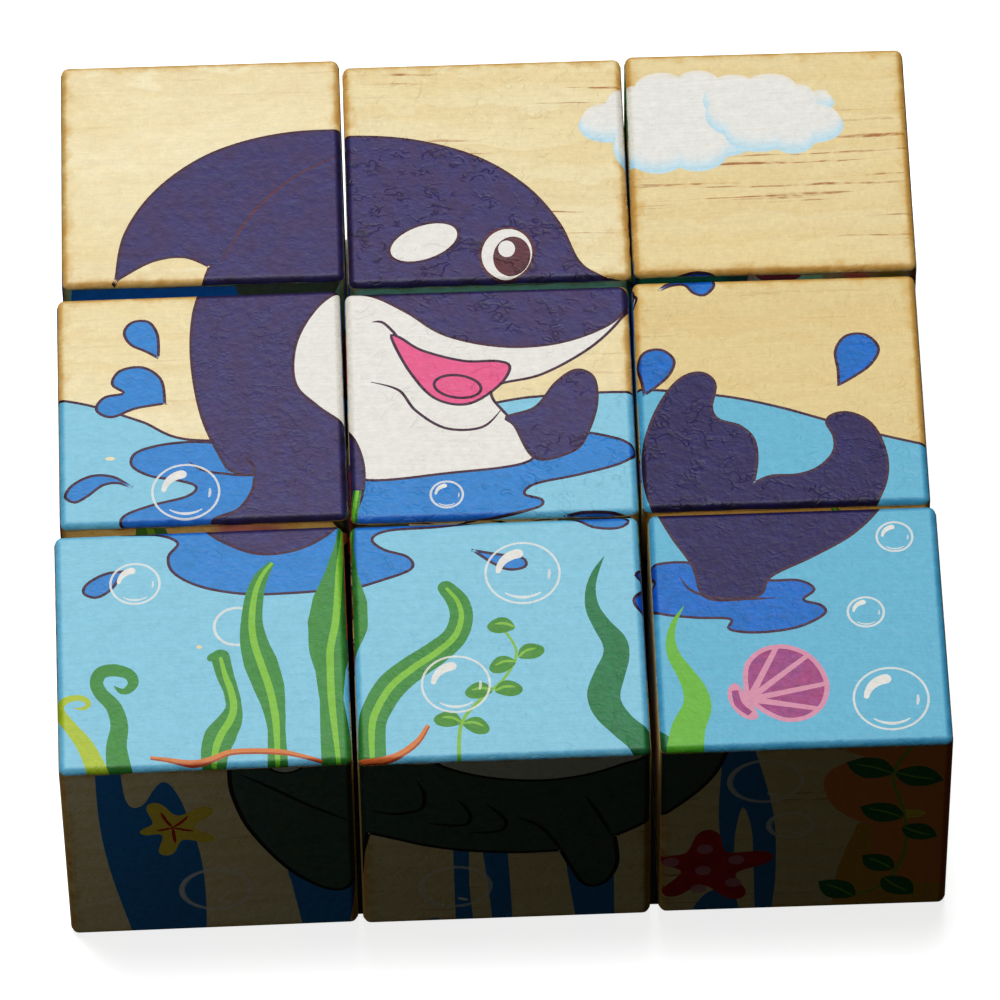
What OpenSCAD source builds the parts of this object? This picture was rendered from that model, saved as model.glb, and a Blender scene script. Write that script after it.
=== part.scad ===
// Picture block puzzle: nine loose pine cubes laid in a square, three by three.
// Every cube carries a printed film on each of its six faces, so turning all
// nine cubes the same way shows the next of six pictures.
// +Z is up, the front of the square faces -Y and the floor is z = 0.

/* [Cube] */
// Edge length of a finished cube, measured over its films
cube_size = 35; // [30:0.5:40]
// Radius along every edge of the wood
edge_radius = 0.9; // [0.8:0.1:2]
// Thickness of a printed film
film_thickness = 0.1; // [0.05:0.05:0.2]
// Radius on the four corners of a film
film_corner = 0.8; // [0.2:0.1:2]

/* [Layout] */
// Mean gap between neighbouring cubes
mean_gap = 0.6; // [0.6:0.1:2]
// How loosely the cubes are laid: 1 as laid by hand, 0 squared up
looseness = 1; // [0:0.1:1]

/* [Hidden] */
$fn = 48;
pitch = cube_size + mean_gap;
wood_size = cube_size - 2 * film_thickness;
flat_size = wood_size - 2 * edge_radius;

// Where each cube lies: its place, its column and row counted from the middle,
// how far the hand left it off the grid in X and Y, and its turn in degrees
CUBES = [
    ["back_left",    -1,  1,  0.80,  0.75, -0.15],
    ["back_middle",   0,  1,  0.55, -0.55, -0.10],
    ["back_right",    1,  1,  0.30, -0.35, -0.40],
    ["middle_left",  -1,  0,  0.20, -0.25,  0.25],
    ["center",        0,  0, -0.05, -0.85, -0.10],
    ["middle_right",  1,  0, -0.25, -0.60, -0.25],
    ["front_left",   -1, -1, -0.25, -0.60,  0.55],
    ["front_middle",  0, -1, -0.20, -0.60,  0.20],
    ["front_right",   1, -1,  0.25, -0.40,  0.00]
];

// The six separate pieces of one cube
PIECES = ["wood", "top_print", "bottom_print", "front_print", "back_print", "side_prints"];

// Square with round corners, centred
module rounded_square(side, radius) {
    inner = side - 2 * radius;
    square([side, inner], center = true);
    square([inner, side], center = true);
    for (x = [-1, 1], y = [-1, 1])
        translate([x, y] * inner / 2) circle(r = radius);
}

// Square bar with round long edges, centred, along Z
module rounded_bar() {
    linear_extrude(height = wood_size, center = true) rounded_square(wood_size, edge_radius);
}

// Film over the flat of one face: lies on the cube's upper face, centred on the cube
module film() {
    translate([0, 0, wood_size / 2])
        linear_extrude(height = film_thickness) rounded_square(flat_size, film_corner);
}

// Solid pine cube: the three bars' common volume has a radius on all twelve edges
module wood() {
    color("#E3D3A2") intersection() {
        rounded_bar();
        rotate([90, 0, 0]) rounded_bar();
        rotate([0, 90, 0]) rounded_bar();
    }
}

module top_print() {
    color("#86BFD8") film();
}

module bottom_print() {
    color("#6FA86A") rotate([180, 0, 0]) film();
}

module front_print() {
    color("#3E5F8C") rotate([90, 0, 0]) film();
}

module back_print() {
    color("#4E9C86") rotate([-90, 0, 0]) film();
}

// The two films on the left and right faces
module side_prints() {
    color("#D98A4A") for (side = [-90, 90]) rotate([0, side, 0]) film();
}

// Carries its children, built on a centred cube, to a cube's place on the floor
module at_place(cube_place) {
    translate([
        cube_place[1] * pitch + cube_place[3] * looseness,
        cube_place[2] * pitch + cube_place[4] * looseness,
        cube_size / 2
    ])
        rotate([0, 0, cube_place[5] * looseness]) children();
}

for (cube_place = CUBES) {
    place = cube_place[0];
    at_place(cube_place) wood();
    at_place(cube_place) top_print();
    at_place(cube_place) bottom_print();
    at_place(cube_place) front_print();
    at_place(cube_place) back_print();
    at_place(cube_place) side_prints();
}
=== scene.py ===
# %% [markdown]
# # Nine pine cubes with six sea pictures
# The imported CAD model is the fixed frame: nine wooden cubes lying in a square, each with a printed film on
# every face. This lesson gives them their finish. The wood becomes sanded pine, and each film becomes a thin
# sheet that is pressed over the rounded edges and carries its ninth part of a picture.

# %% Load the frame
import bpy
import numpy as np
from mathutils import Matrix, Vector
from mathutils.geometry import delaunay_2d_cdt


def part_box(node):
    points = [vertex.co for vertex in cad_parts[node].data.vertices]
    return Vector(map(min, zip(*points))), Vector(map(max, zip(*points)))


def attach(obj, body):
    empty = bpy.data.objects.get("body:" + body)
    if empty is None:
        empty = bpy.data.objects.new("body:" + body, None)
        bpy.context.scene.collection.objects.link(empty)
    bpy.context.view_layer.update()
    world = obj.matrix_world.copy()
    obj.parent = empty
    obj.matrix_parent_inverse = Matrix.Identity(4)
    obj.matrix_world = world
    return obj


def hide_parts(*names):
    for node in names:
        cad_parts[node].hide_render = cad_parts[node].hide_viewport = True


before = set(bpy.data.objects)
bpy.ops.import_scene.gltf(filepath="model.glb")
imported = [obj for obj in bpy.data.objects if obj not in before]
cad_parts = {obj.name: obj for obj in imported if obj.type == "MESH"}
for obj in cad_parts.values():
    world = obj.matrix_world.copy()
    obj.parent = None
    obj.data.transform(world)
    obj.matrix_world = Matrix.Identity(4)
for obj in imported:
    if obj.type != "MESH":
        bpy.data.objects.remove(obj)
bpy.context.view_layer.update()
MM = 0.001

# %% [markdown]
# ## Where each cube lies
# The cubes were laid by hand, so each is a little off the grid and a little turned. Both could be typed in
# again, but reading them from the frame keeps one source for them: the box of the wood gives the middle, and
# the wood's right-hand face gives the turn, because that face's normal is the cube's own X axis.

# %% Read the places of the cubes
PLACES = ["back_left", "back_middle", "back_right",
          "middle_left", "center", "middle_right",
          "front_left", "front_middle", "front_right"]


def cube_turn(wood):
    """Angle of the cube about Z, from the area-weighted mean of the normals that point nearly along +X."""
    count = len(wood.data.polygons)
    normals, areas = np.empty(count * 3), np.empty(count)
    wood.data.polygons.foreach_get("normal", normals)
    wood.data.polygons.foreach_get("area", areas)
    normals = normals.reshape(-1, 3)
    facing = normals[:, 0] > 0.9999
    mean = (normals[facing] * areas[facing, None]).sum(axis=0)
    return float(np.arctan2(mean[1], mean[0]))


def cube_matrix(place):
    """Matrix from a cube's own millimetres, centred on the cube, to the frame's metres."""
    low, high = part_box(place + "_wood")
    middle = (low + high) / 2
    turn = Matrix.Rotation(cube_turn(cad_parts[place + "_wood"]), 4, "Z")
    return Matrix.Translation(middle) @ turn @ Matrix.Scale(MM, 4)


CUBE_AT = {place: cube_matrix(place) for place in PLACES}
wood_low, wood_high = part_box("front_right_wood")
film_low, film_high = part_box("front_right_top_print")
HALF_WOOD = (wood_high.z - wood_low.z) / 2 / MM
FILM = (film_high.z - film_low.z) / MM
EDGE_RADIUS = HALF_WOOD - (film_high.x - film_low.x) / 2 / MM
FLAT = HALF_WOOD - EDGE_RADIUS
CUBE = 2 * (HALF_WOOD + FILM)
print(f"cube {CUBE:.2f} mm, film {FILM:.2f} mm, edge radius {EDGE_RADIUS:.2f} mm")

# %% [markdown]
# ## Helpers for materials
# Nodes can be linked by hand in the shader editor. Here a few helpers place and link them, so that each
# recipe later on reads as a short list: a Math node, a Vector Math node, a ramp, a noise and a mix.

# %% Node helpers
def group(name, inputs, outputs):
    """Shader node group with named sockets; returns its tree, the inputs' sockets and the output node."""
    tree = bpy.data.node_groups.new(name, "ShaderNodeTree")
    for label, kind in inputs.items():
        tree.interface.new_socket(label, in_out="INPUT", socket_type="NodeSocket" + kind)
    for label, kind in outputs.items():
        tree.interface.new_socket(label, in_out="OUTPUT", socket_type="NodeSocket" + kind)
    return tree, tree.nodes.new("NodeGroupInput").outputs, tree.nodes.new("NodeGroupOutput")


def put(tree, kind, inputs=(), **settings):
    """Node of a kind; each input, by name or in order, is a socket to link or a value to set."""
    made = tree.nodes.new("ShaderNode" + kind)
    for key, value in settings.items():
        setattr(made, key, value)
    for where, value in inputs.items() if isinstance(inputs, dict) else enumerate(inputs):
        if isinstance(value, bpy.types.NodeSocket):
            tree.links.new(value, made.inputs[where])
        elif value is not None:
            made.inputs[where].default_value = value
    return made


def calc(tree, operation, *values):
    """Result of one Math node."""
    return put(tree, "Math", values, operation=operation).outputs[0]


def vector(tree, operation, *values):
    """Result of one Vector Math node."""
    made = put(tree, "VectorMath", values, operation=operation)
    return made.outputs["Value" if operation == "LENGTH" else "Vector"]


def times(tree, a, b):
    """Product of two values."""
    return calc(tree, "MULTIPLY", a, b)


def plus(tree, a, b):
    """Sum of two values."""
    return calc(tree, "ADD", a, b)


def minus(tree, a, b):
    """First value less the second."""
    return calc(tree, "SUBTRACT", a, b)


def stretch(tree, a, b):
    """Product of two vectors, part by part."""
    return vector(tree, "MULTIPLY", a, b)


def shift(tree, a, b):
    """Sum of two vectors."""
    return vector(tree, "ADD", a, b)


def split(tree, point):
    """The x, y and z of a vector."""
    return put(tree, "SeparateXYZ", [point]).outputs


def step(tree, value, low, high, start=0.0, end=1.0):
    """Smooth ramp from start to end while the value goes from low to high."""
    return put(tree, "MapRange", [value, low, high, start, end], interpolation_type="SMOOTHSTEP").outputs[0]


def noise(tree, at, scale=1.0, detail=2.0, roughness=0.5):
    """Noise value from 0 to 1."""
    return put(tree, "TexNoise", {"Vector": at, "Scale": scale, "Detail": detail,
                                  "Roughness": roughness}).outputs[0]


def blend(tree, share, a, b, how="MIX"):
    """Mix of two colours."""
    made = put(tree, "Mix", data_type="RGBA", blend_type=how, clamp_factor=True)
    for where, value in ((0, share), (6, a), (7, b)):
        if isinstance(value, bpy.types.NodeSocket):
            tree.links.new(value, made.inputs[where])
        else:
            made.inputs[where].default_value = value
    return made.outputs[2]


def ink(rgb):
    """Display colour as a node colour."""
    return (*to_linear(rgb), 1)


def toned(tree, colour, tone):
    """The colour made darker or lighter by a tone about 1."""
    return blend(tree, 1.0, colour, put(tree, "CombineColor", [tone, tone, tone]).outputs[0], "MULTIPLY")


def cube_shift(tree, cube, x, y, z):
    """A long way off, different for each cube, so that no two cubes are cut from the same piece of noise."""
    return put(tree, "CombineXYZ", [times(tree, cube, x), times(tree, cube, y),
                                    times(tree, cube, z)]).outputs[0]


def towards_edge(tree, own):
    """Second largest of |x|, |y| and |z|: half the flat's width at an edge of the cube, less in from it."""
    x, y, z = split(tree, vector(tree, "ABSOLUTE", own))
    return calc(tree, "MAXIMUM", calc(tree, "MINIMUM", x, y),
                calc(tree, "MINIMUM", calc(tree, "MAXIMUM", x, y), z))


# %% [markdown]
# ## Camera, floor and light
# A long lens from well in front and above keeps the square nearly true; a short one would make the near row
# look larger than the far one. One broad soft box hangs over and behind the cubes, so their tops are bright and
# their fronts fall into shade, and a very small one keeps the left end of the fronts from going black.

# %% Camera
def degrees(value):
    """Radians of an angle in degrees."""
    return np.radians(value)


AIM = Vector((0.9, -3.0, 17.5)) * MM
AZIMUTH, ELEVATION, ROLL = degrees(-1.31), degrees(53.85), degrees(-0.81)
DISTANCE, LENS = 1.149, 334.8

away = Vector((np.cos(ELEVATION) * np.sin(AZIMUTH), -np.cos(ELEVATION) * np.cos(AZIMUTH), np.sin(ELEVATION)))
level = away.cross(Vector((0, 0, -1))).normalized()
rise = away.cross(level)
across = level * np.cos(ROLL) + rise * np.sin(ROLL)
camera_data = bpy.data.cameras.new("camera")
camera_data.lens, camera_data.sensor_width = LENS, 36
camera_data.clip_start, camera_data.clip_end = 0.01, 20
camera = bpy.data.objects.new("camera", camera_data)
camera.matrix_world = Matrix.Translation(AIM + away * DISTANCE) @ Matrix(
    (across, away.cross(across), away)).transposed().to_4x4()
bpy.context.scene.collection.objects.link(camera)
bpy.context.scene.camera = camera
print("camera at", [round(v, 3) for v in camera.matrix_world.translation])

# %% Floor and lights
FLOOR_HALF = 3.0
GLOW = 0.8
WHITE = 0.85
COVERED = (0.0515, 0.0520)
FRONT_ROW = -0.016
# Half width of the band of painted shade under each front gap.
PAINTED_GAP_SHADE_HALF = 0.0012


def floor_material():
    """White that glows outside the square of cubes; under it the floor has only the light that reaches it,
    and in the two front gaps its colour is black, a painted shade where a real table gets no light."""
    made = bpy.data.materials.new("floor")
    made.use_nodes = True
    tree, shader = made.node_tree, made.node_tree.nodes["Principled BSDF"]
    x, y, z = split(tree, put(tree, "TexCoord").outputs["Object"])
    far_x, far_y = (calc(tree, "GREATER_THAN", calc(tree, "ABSOLUTE", value), half)
                    for value, half in zip((x, y), COVERED))
    glow = times(tree, calc(tree, "MAXIMUM", far_x, far_y), GLOW)
    behind, before = calc(tree, "GREATER_THAN", y, FRONT_ROW), calc(tree, "LESS_THAN", y, -COVERED[1])
    pale, base_with_painted_gap_shade = calc(tree, "MAXIMUM", behind, before), WHITE
    # Painted shade: in a band under each front gap the floor's base colour goes to black.
    for left, right in (("front_left", "front_middle"), ("front_middle", "front_right")):
        gap = float(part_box(left + "_wood")[1][0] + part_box(right + "_wood")[0][0]) / 2
        beside = calc(tree, "GREATER_THAN", calc(tree, "ABSOLUTE", minus(tree, x, gap)), PAINTED_GAP_SHADE_HALF)
        base_with_painted_gap_shade = times(tree, base_with_painted_gap_shade, calc(tree, "MAXIMUM", pale, beside))
    tree.links.new(base_with_painted_gap_shade, shader.inputs["Base Color"])
    tree.links.new(glow, shader.inputs["Emission Strength"])
    shader.inputs["Emission Color"].default_value = (1, 1, 1, 1)
    shader.inputs["Roughness"].default_value = 0.9
    return made


def soft_box(name, at, aim, size, watts):
    """Square area light at a place, turned to face the point aim."""
    data = bpy.data.lights.new(name, "AREA")
    data.size, data.energy = size, watts
    lamp = bpy.data.objects.new(name, data)
    look = (Vector(aim) - Vector(at)).to_track_quat("-Z", "Y")
    lamp.matrix_world = Matrix.Translation(at) @ look.to_matrix().to_4x4()
    bpy.context.scene.collection.objects.link(lamp)
    return lamp


corners = FLOOR_HALF * np.array([(-1, -1, 0), (1, -1, 0), (1, 1, 0), (-1, 1, 0)])
floor_mesh = bpy.data.meshes.new("floor")
floor_mesh.from_pydata(corners.tolist(), [], [(0, 1, 2, 3)])
floor_mesh.materials.append(floor_material())
floor = bpy.data.objects.new("floor", floor_mesh)
bpy.context.scene.collection.objects.link(floor)
floor.visible_diffuse = floor.visible_glossy = False

soft_box("key", (-0.12, 0.32, 1.15), (0, 0.02, 0), 0.55, 13.8)
near_left = soft_box("near_left", (-0.125, -0.105, 0.060), (-0.05, -0.054, 0.022), 0.03, 0.0092)
near_left.visible_camera = False
world = bpy.data.worlds.new("studio")
world.use_nodes = True
world.node_tree.nodes["Background"].inputs["Color"].default_value = (1.0, 0.98, 0.58, 1)
world.node_tree.nodes["Background"].inputs["Strength"].default_value = 0.012
bpy.context.scene.world = world
bpy.context.scene.view_settings.view_transform = "Standard"
print("floor half", FLOOR_HALF, "m, a soft box, a small lamp and a weak sky")

# %% [markdown]
# ## Wooden cubes
# A sanded cube is flat on six sides, with a quarter round along each edge and a ball at each corner. A cube
# with a Bevel modifier gives that too. Here it is a formula: a point q on a sharp cube is pulled to the
# nearest point c of a smaller inner cube, and the surface lies one edge radius from c in the direction of
# q - c. Flats, quarter rounds and balls all come out of that one rule, and the films are wrapped by it too.

# %% Wood surface
FACES = {"top": ((1, 0, 0), (0, 1, 0)), "bottom": ((1, 0, 0), (0, -1, 0)),
         "front": ((1, 0, 0), (0, 0, 1)), "back": ((1, 0, 0), (0, 0, -1)),
         "left": ((0, 0, 1), (0, 1, 0)), "right": ((0, 0, -1), (0, 1, 0))}


def face_axes(face):
    """The face's picture axes, right and up, and its outward normal, as rows."""
    right, up = np.array(FACES[face], float)
    return np.array([right, up, np.cross(right, up)])


def sanded_cube():
    """Six square grids; each point q goes to c + radius * unit(q - c), c being q held within the flats."""
    arc = FLAT + EDGE_RADIUS * np.tan(np.linspace(0, np.pi / 4, 7))
    lines = np.concatenate([-arc[::-1], np.linspace(-FLAT, FLAT, 9)[1:-1], arc])
    count = len(lines)
    u, v = np.meshgrid(lines, lines, indexing="ij")
    grid = np.stack([u, v, np.full_like(u, HALF_WOOD)], axis=-1).reshape(-1, 3)
    corner = np.arange(count * count).reshape(count, count)
    quads = np.stack([corner[:-1, :-1], corner[1:, :-1], corner[1:, 1:], corner[:-1, 1:]],
                     axis=-1).reshape(-1, 4)
    q = np.concatenate([grid @ face_axes(face) for face in FACES])
    c = np.clip(q, -FLAT, FLAT)
    away_from_c = q - c
    surface = c + EDGE_RADIUS * away_from_c / np.linalg.norm(away_from_c, axis=1, keepdims=True)
    faces = np.concatenate([quads + k * count * count for k in range(6)])
    shared, same = np.unique(surface.round(4), axis=0, return_inverse=True)
    return shared, same.ravel()[faces]


# How tan the wood is, how streaky, and how creased its film, each from 0 to 1.
WOODS = {"back_left": (0.0, 0.15, 0.1), "back_middle": (0.3, 0.9, 1.0), "back_right": (0.65, 0.9, 0.4),
         "middle_left": (0.1, 0.2, 0.3), "center": (0.2, 0.3, 0.8), "middle_right": (0.9, 0.2, 0.6),
         "front_left": (0.2, 0.6, 0.3), "front_middle": (0.3, 0.5, 0.4), "front_right": (0.4, 0.9, 0.2)}


def put_mesh(name, place, points, faces, normals=None):
    """Mesh from points in the cube's own millimetres, moved to the cube's place. Its attribute 'own' keeps
    the point in millimetres, so that grain, worn edges and painted edge shade follow the cube, and 'cube' says
    which cube it is."""
    mesh = bpy.data.meshes.new(name)
    turn = np.array(CUBE_AT[place])
    mesh.from_pydata((points @ turn[:3, :3].T + turn[:3, 3]).tolist(), [], faces.tolist())
    mesh.attributes.new("own", "FLOAT_VECTOR", "POINT").data.foreach_set("vector", points.ravel())
    for label, value in zip(("cube", "tan", "streaks", "creases"), (PLACES.index(place), *WOODS[place])):
        mesh.attributes.new(label, "FLOAT", "POINT").data.foreach_set("value",
                                                                      np.full(len(points), value, float))
    mesh.shade_smooth()
    if normals is not None:
        mesh.normals_split_custom_set_from_vertices((normals @ turn[:3, :3].T / MM).tolist())
    piece = bpy.data.objects.new(name, mesh)
    bpy.context.scene.collection.objects.link(piece)
    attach(piece, place + "_cube")
    return piece


CUBE_POINTS, CUBE_FACES = sanded_cube()
wood_pieces = []
for place in PLACES:
    piece = put_mesh(place + "_pine_cube", place, CUBE_POINTS, CUBE_FACES)
    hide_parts(place + "_wood")
    wood_pieces.append(piece)
print(len(wood_pieces), "cubes of", len(CUBE_FACES), "faces each")

# %% [markdown]
# ## Drawing with outlines
# The pictures were printed as flat areas of ink with a dark line round them. A painted image would do, but an
# image has a resolution and has to be stored. Here each area of ink is an outline in millimetres: a smooth
# curve through a few points, a circle, or a ribbon that follows a path with a changing width. Later areas
# cover earlier ones, as in screen printing.

# %% Curves
STEP = 0.4


def even(points, closed):
    """The same path with points about STEP apart: positions interpolated over the length along it."""
    path = np.vstack([points, points[:1]]) if closed else points
    along = np.concatenate([[0], np.cumsum(np.linalg.norm(np.diff(path, axis=0), axis=1))])
    count = max(8, int(np.ceil(along[-1] / STEP)))
    at = np.linspace(0, along[-1], count + 1)[:count + (not closed)]
    return np.stack([np.interp(at, along, path[:, k]) for k in range(2)], axis=1)


def curve(points, closed=True):
    """Catmull-Rom curve: each span is a cubic whose end slopes are half the chord between the neighbours.
    A point given twice makes a sharp corner."""
    p = np.array(points, float)
    if closed:
        p0, p1, p2, p3 = np.roll(p, 1, 0), p, np.roll(p, -1, 0), np.roll(p, -2, 0)
    else:
        q = np.vstack([p[:1], p, p[-1:]])
        p0, p1, p2, p3 = q[:-3], q[1:-2], q[2:-1], q[3:]
    t = np.linspace(0, 1, 16, endpoint=False)[None, :, None]
    m1, m2 = (p2 - p0)[:, None] / 2, (p3 - p1)[:, None] / 2
    a, b = p1[:, None], p2[:, None]
    spans = (2 * t**3 - 3 * t**2 + 1) * a + (t**3 - 2 * t**2 + t) * m1
    spans = spans + (3 * t**2 - 2 * t**3) * b + (t**3 - t**2) * m2
    path = spans.reshape(-1, 2)
    return even(path if closed else np.vstack([path, p[-1:]]), closed)


def oval(x, y, rx, ry=None, tilt=0):
    """Ellipse about (x, y) with half axes rx and ry, turned by tilt degrees."""
    ry = rx if ry is None else ry
    angle = np.linspace(0, 2 * np.pi, max(16, int(2 * np.pi * max(rx, ry) / STEP)), endpoint=False)
    cos, sin = np.cos(degrees(tilt)), np.sin(degrees(tilt))
    px, py = rx * np.cos(angle), ry * np.sin(angle)
    return np.stack([x + cos * px - sin * py, y + sin * px + cos * py], axis=1)


def normals_of(path, closed):
    """Unit normals, to the left of the way the path runs."""
    ahead = np.roll(path, -1, 0) - np.roll(path, 1, 0) if closed else np.gradient(path, axis=0)
    ahead = ahead / np.maximum(np.linalg.norm(ahead, axis=1, keepdims=True), 1e-9)
    return np.stack([-ahead[:, 1], ahead[:, 0]], axis=1)


def ribbon(points, widths, smooth=True):
    """Outline of a band that follows a path. The widths belong to the points, or, when their number differs,
    to equal shares of the path; between them the width is interpolated."""
    path = curve(points, closed=False) if smooth else even(np.array(points, float), False)
    share = np.linspace(0, 1, len(path))
    chords = np.linalg.norm(np.diff(np.array(points, float), axis=0), axis=1)
    reached = np.concatenate([[0], np.cumsum(chords)])
    at = reached / reached[-1] if len(widths) == len(points) else np.linspace(0, 1, len(widths))
    half = np.interp(share, at, widths)[:, None] / 2
    side = normals_of(path, False) * half
    return np.vstack([path + side, (path - side)[::-1]])


def grow(outline, distance):
    """The outline moved outwards along its normals; points that come too near the outline are left out, which
    takes away the small loops at sharp corners."""
    x, y = outline.T
    turning = np.sign(np.sum(x * np.roll(y, -1) - np.roll(x, -1) * y))
    shifted = outline - normals_of(outline, True) * distance * turning
    gaps = np.linalg.norm(shifted[:, None] - outline[None], axis=2).min(axis=1)
    keep = gaps > 0.9 * abs(distance)
    return shifted[keep] if keep.sum() > 3 else shifted


# %% [markdown]
# ## Inks
# A layer is a set of rings, the name of its ink and how much it covers. The space between two rings is inked
# by the even-odd rule, so a line round an area is a layer whose rings are the area grown and shrunk by half
# the line's width. The ink named bare takes the print away again, where the film has lost it.

# %% Inks and layers
INKS = {"bare": (0, 0, 0), "white": (236, 233, 226), "line": (72, 40, 62), "soot": (34, 34, 40),
        "sea": (136, 202, 226), "sea_right": (104, 184, 214), "wave": (46, 134, 210),
        "wave_deep": (8, 112, 202), "navy": (64, 54, 104), "deep_navy": (40, 30, 88),
        "pink": (236, 92, 142), "rose": (166, 74, 132), "blush": (218, 146, 172), "kelp": (66, 144, 62),
        "lime": (132, 194, 62), "bottle": (40, 128, 74), "grass": (108, 184, 56), "olive": (176, 196, 52),
        "leaf": (134, 190, 66), "leaf_green": (76, 146, 54), "rust": (216, 128, 66),
        "rust_dark": (176, 88, 44), "haze": (190, 224, 238), "mist": (214, 230, 234), "eye": (96, 50, 56),
        "slate": (78, 104, 92), "belly": (206, 208, 200), "blue": (42, 128, 204), "yellow": (240, 214, 74),
        "red": (206, 40, 40), "orange": (250, 150, 84), "ochre": (226, 168, 60), "turtle": (110, 176, 92),
        "shell_brown": (150, 104, 62), "teal": (48, 150, 150), "violet": (138, 104, 178),
        "lilac": (188, 160, 212), "sand": (232, 208, 150), "coral": (238, 110, 96)}


def to_linear(rgb):
    """Linear light of a display colour, by the sRGB curve."""
    c = np.array(rgb, float) / 255
    return np.where(c <= 0.04045, c / 12.92, ((c + 0.055) / 1.055) ** 2.4)


LINE = 0.38


def area(outline, colour, cover=1.0):
    """One layer: the outline filled with an ink."""
    return [([outline], colour, cover)]


def lined(outline, colour, line="line", width=LINE):
    """Two layers: the area, and the dark line round it."""
    rings = [grow(outline, width / 2), grow(outline, -width / 2)]
    return area(outline, colour) + [(rings, line, 1.0)]


def stroke(points, colour="line", width=LINE, cover=1.0):
    """A drawn line with pointed ends."""
    return area(ribbon(points, [0.1, width, width, width, width, 0.1]), colour, cover)


def bubble(x, y, r, colour="white"):
    """A thin ring with a thick gleam at its upper left and two short ones at its lower right."""
    def arc(radius, start, end, widths):
        angle = degrees(np.linspace(start, end, 9))
        return ribbon(np.stack([x + radius * np.cos(angle), y + radius * np.sin(angle)], 1), widths)
    ring = [([oval(x, y, r), oval(x, y, r - 0.28)], colour, 0.8)]
    gleam = area(arc(0.64 * r, 172, 100, [0.14 * r, 0.2 * r, 0.27 * r, 0.3 * r]), colour, 0.95)
    for across, above, size in ((-0.11, 0.63, 0.15), (-0.634, 0.09, 0.07)):
        gleam += area(oval(x + across * r, y + above * r, size * r), colour, 0.95)
    low = area(arc(0.78 * r, 232, 306, [0.04 * r, 0.1 * r, 0.04 * r]), colour, 0.8)
    return ring + gleam + low + area(arc(0.70 * r, -18, 8, [0.05 * r, 0.09 * r, 0.05 * r]), colour, 0.7)


def kelp(points, widths, colour="kelp", rib="lime"):
    """A weed leaf with a light rib along its middle."""
    leaf = area(ribbon(points, widths), colour)
    leaf += area(oval(*points[-1], 0.49 * widths[-1]), colour) if widths[-1] > 1 else []
    return leaf + (area(ribbon(points, [0.5, 0.9, 0.9, 0.8, 0.4]), rib) if rib else [])


def drop(x, y, length, tilt, colour="wave", line="line"):
    """A drop: round at one end and pointed at the other, turned by tilt degrees."""
    shape = np.array([(0, 0), (0, 0), (0.26, 0.13), (0.55, 0.30), (0.86, 0.27), (1, 0.02), (0.86, -0.25),
                      (0.55, -0.27), (0.26, -0.15)]) * length
    cos, sin = np.cos(degrees(tilt)), np.sin(degrees(tilt))
    return lined(curve(shape @ np.array([(cos, sin), (-sin, cos)]) + (x, y)), colour, line)


def star(x, y, r, tilt=0, waist=0.45, reach=(1, 1, 1, 1, 1)):
    """A soft star: radius r times reach at each arm, less beside it, and waist * r between two arms."""
    angle = degrees((np.arange(5)[:, None] * 72 + (-11, 0, 11, 36) + tilt + 90).ravel())
    radius = (np.array(reach)[:, None] * (0.88, 1.0, 0.88, waist)).ravel() * r
    return curve(np.stack([x + radius * np.cos(angle), y + radius * np.sin(angle)], 1))


print(len(INKS), "inks")

# %% [markdown]
# ## The picture on the tops: a whale rising from the sea
# All pictures are 105 mm square, drawn from the lower left corner, and each cube takes the 35 mm square that
# it covers. The bare wood is the sky. The whale is a plain one in profile, made of three areas: a dark back
# with its fin, a white throat and belly, and a flipper.

# %% Parts of the whale picture
SIDE = 105


def below(points):
    """Area under a line that crosses the whole picture."""
    return np.vstack([curve(points, closed=False), [(SIDE + 1, -1), (-1, -1)]])


def cloud(ovals):
    """A heap of ovals printed several times, each time a little higher, smaller and paler, so its underside
    looks blue. A negative cover means that the ovals of a layer join instead of cutting one another out."""
    layers = []
    for colour, lift, cover in (("haze", -0.5, 0.55), ("haze", -0.25, 0.8), ("haze", 0, 1),
                                ("mist", 0.3, 0.5), ("mist", 0.6, 0.6), ("white", 0.9, 0.5),
                                ("white", 1.3, 0.6), ("white", 1.8, 0.7)):
        shapes = [oval(x, y + lift, rx - 0.4 * abs(lift), ry - 0.5 * abs(lift)) for x, y, rx, ry in ovals]
        layers += [(shapes, colour, -cover)]
    return layers


def leaves(places, size=3.4):
    """Small leaves that start at x and y and point along a tilt: green, with a light rib."""
    shape = np.array([(0, 0), (0.2, 0.3), (0.52, 0.4), (0.84, 0.22), (1, -0.04), (0.84, -0.26), (0.5, -0.3),
                      (0.16, -0.16)]) * size
    rib = np.array([(0, 0), (0.36, 0.14), (0.74, 0.08)]) * size
    layers = []
    for x, y, tilt in places:
        turn = np.array([(np.cos(degrees(tilt)), np.sin(degrees(tilt))),
                         (-np.sin(degrees(tilt)), np.cos(degrees(tilt)))])
        if abs(tilt) > 90:
            turn[1] *= -1
        layers += area(curve(shape @ turn + (x, y)), "leaf_green")
        layers += stroke(rib @ turn + (x, y), "leaf", 0.35)
    return layers


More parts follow.
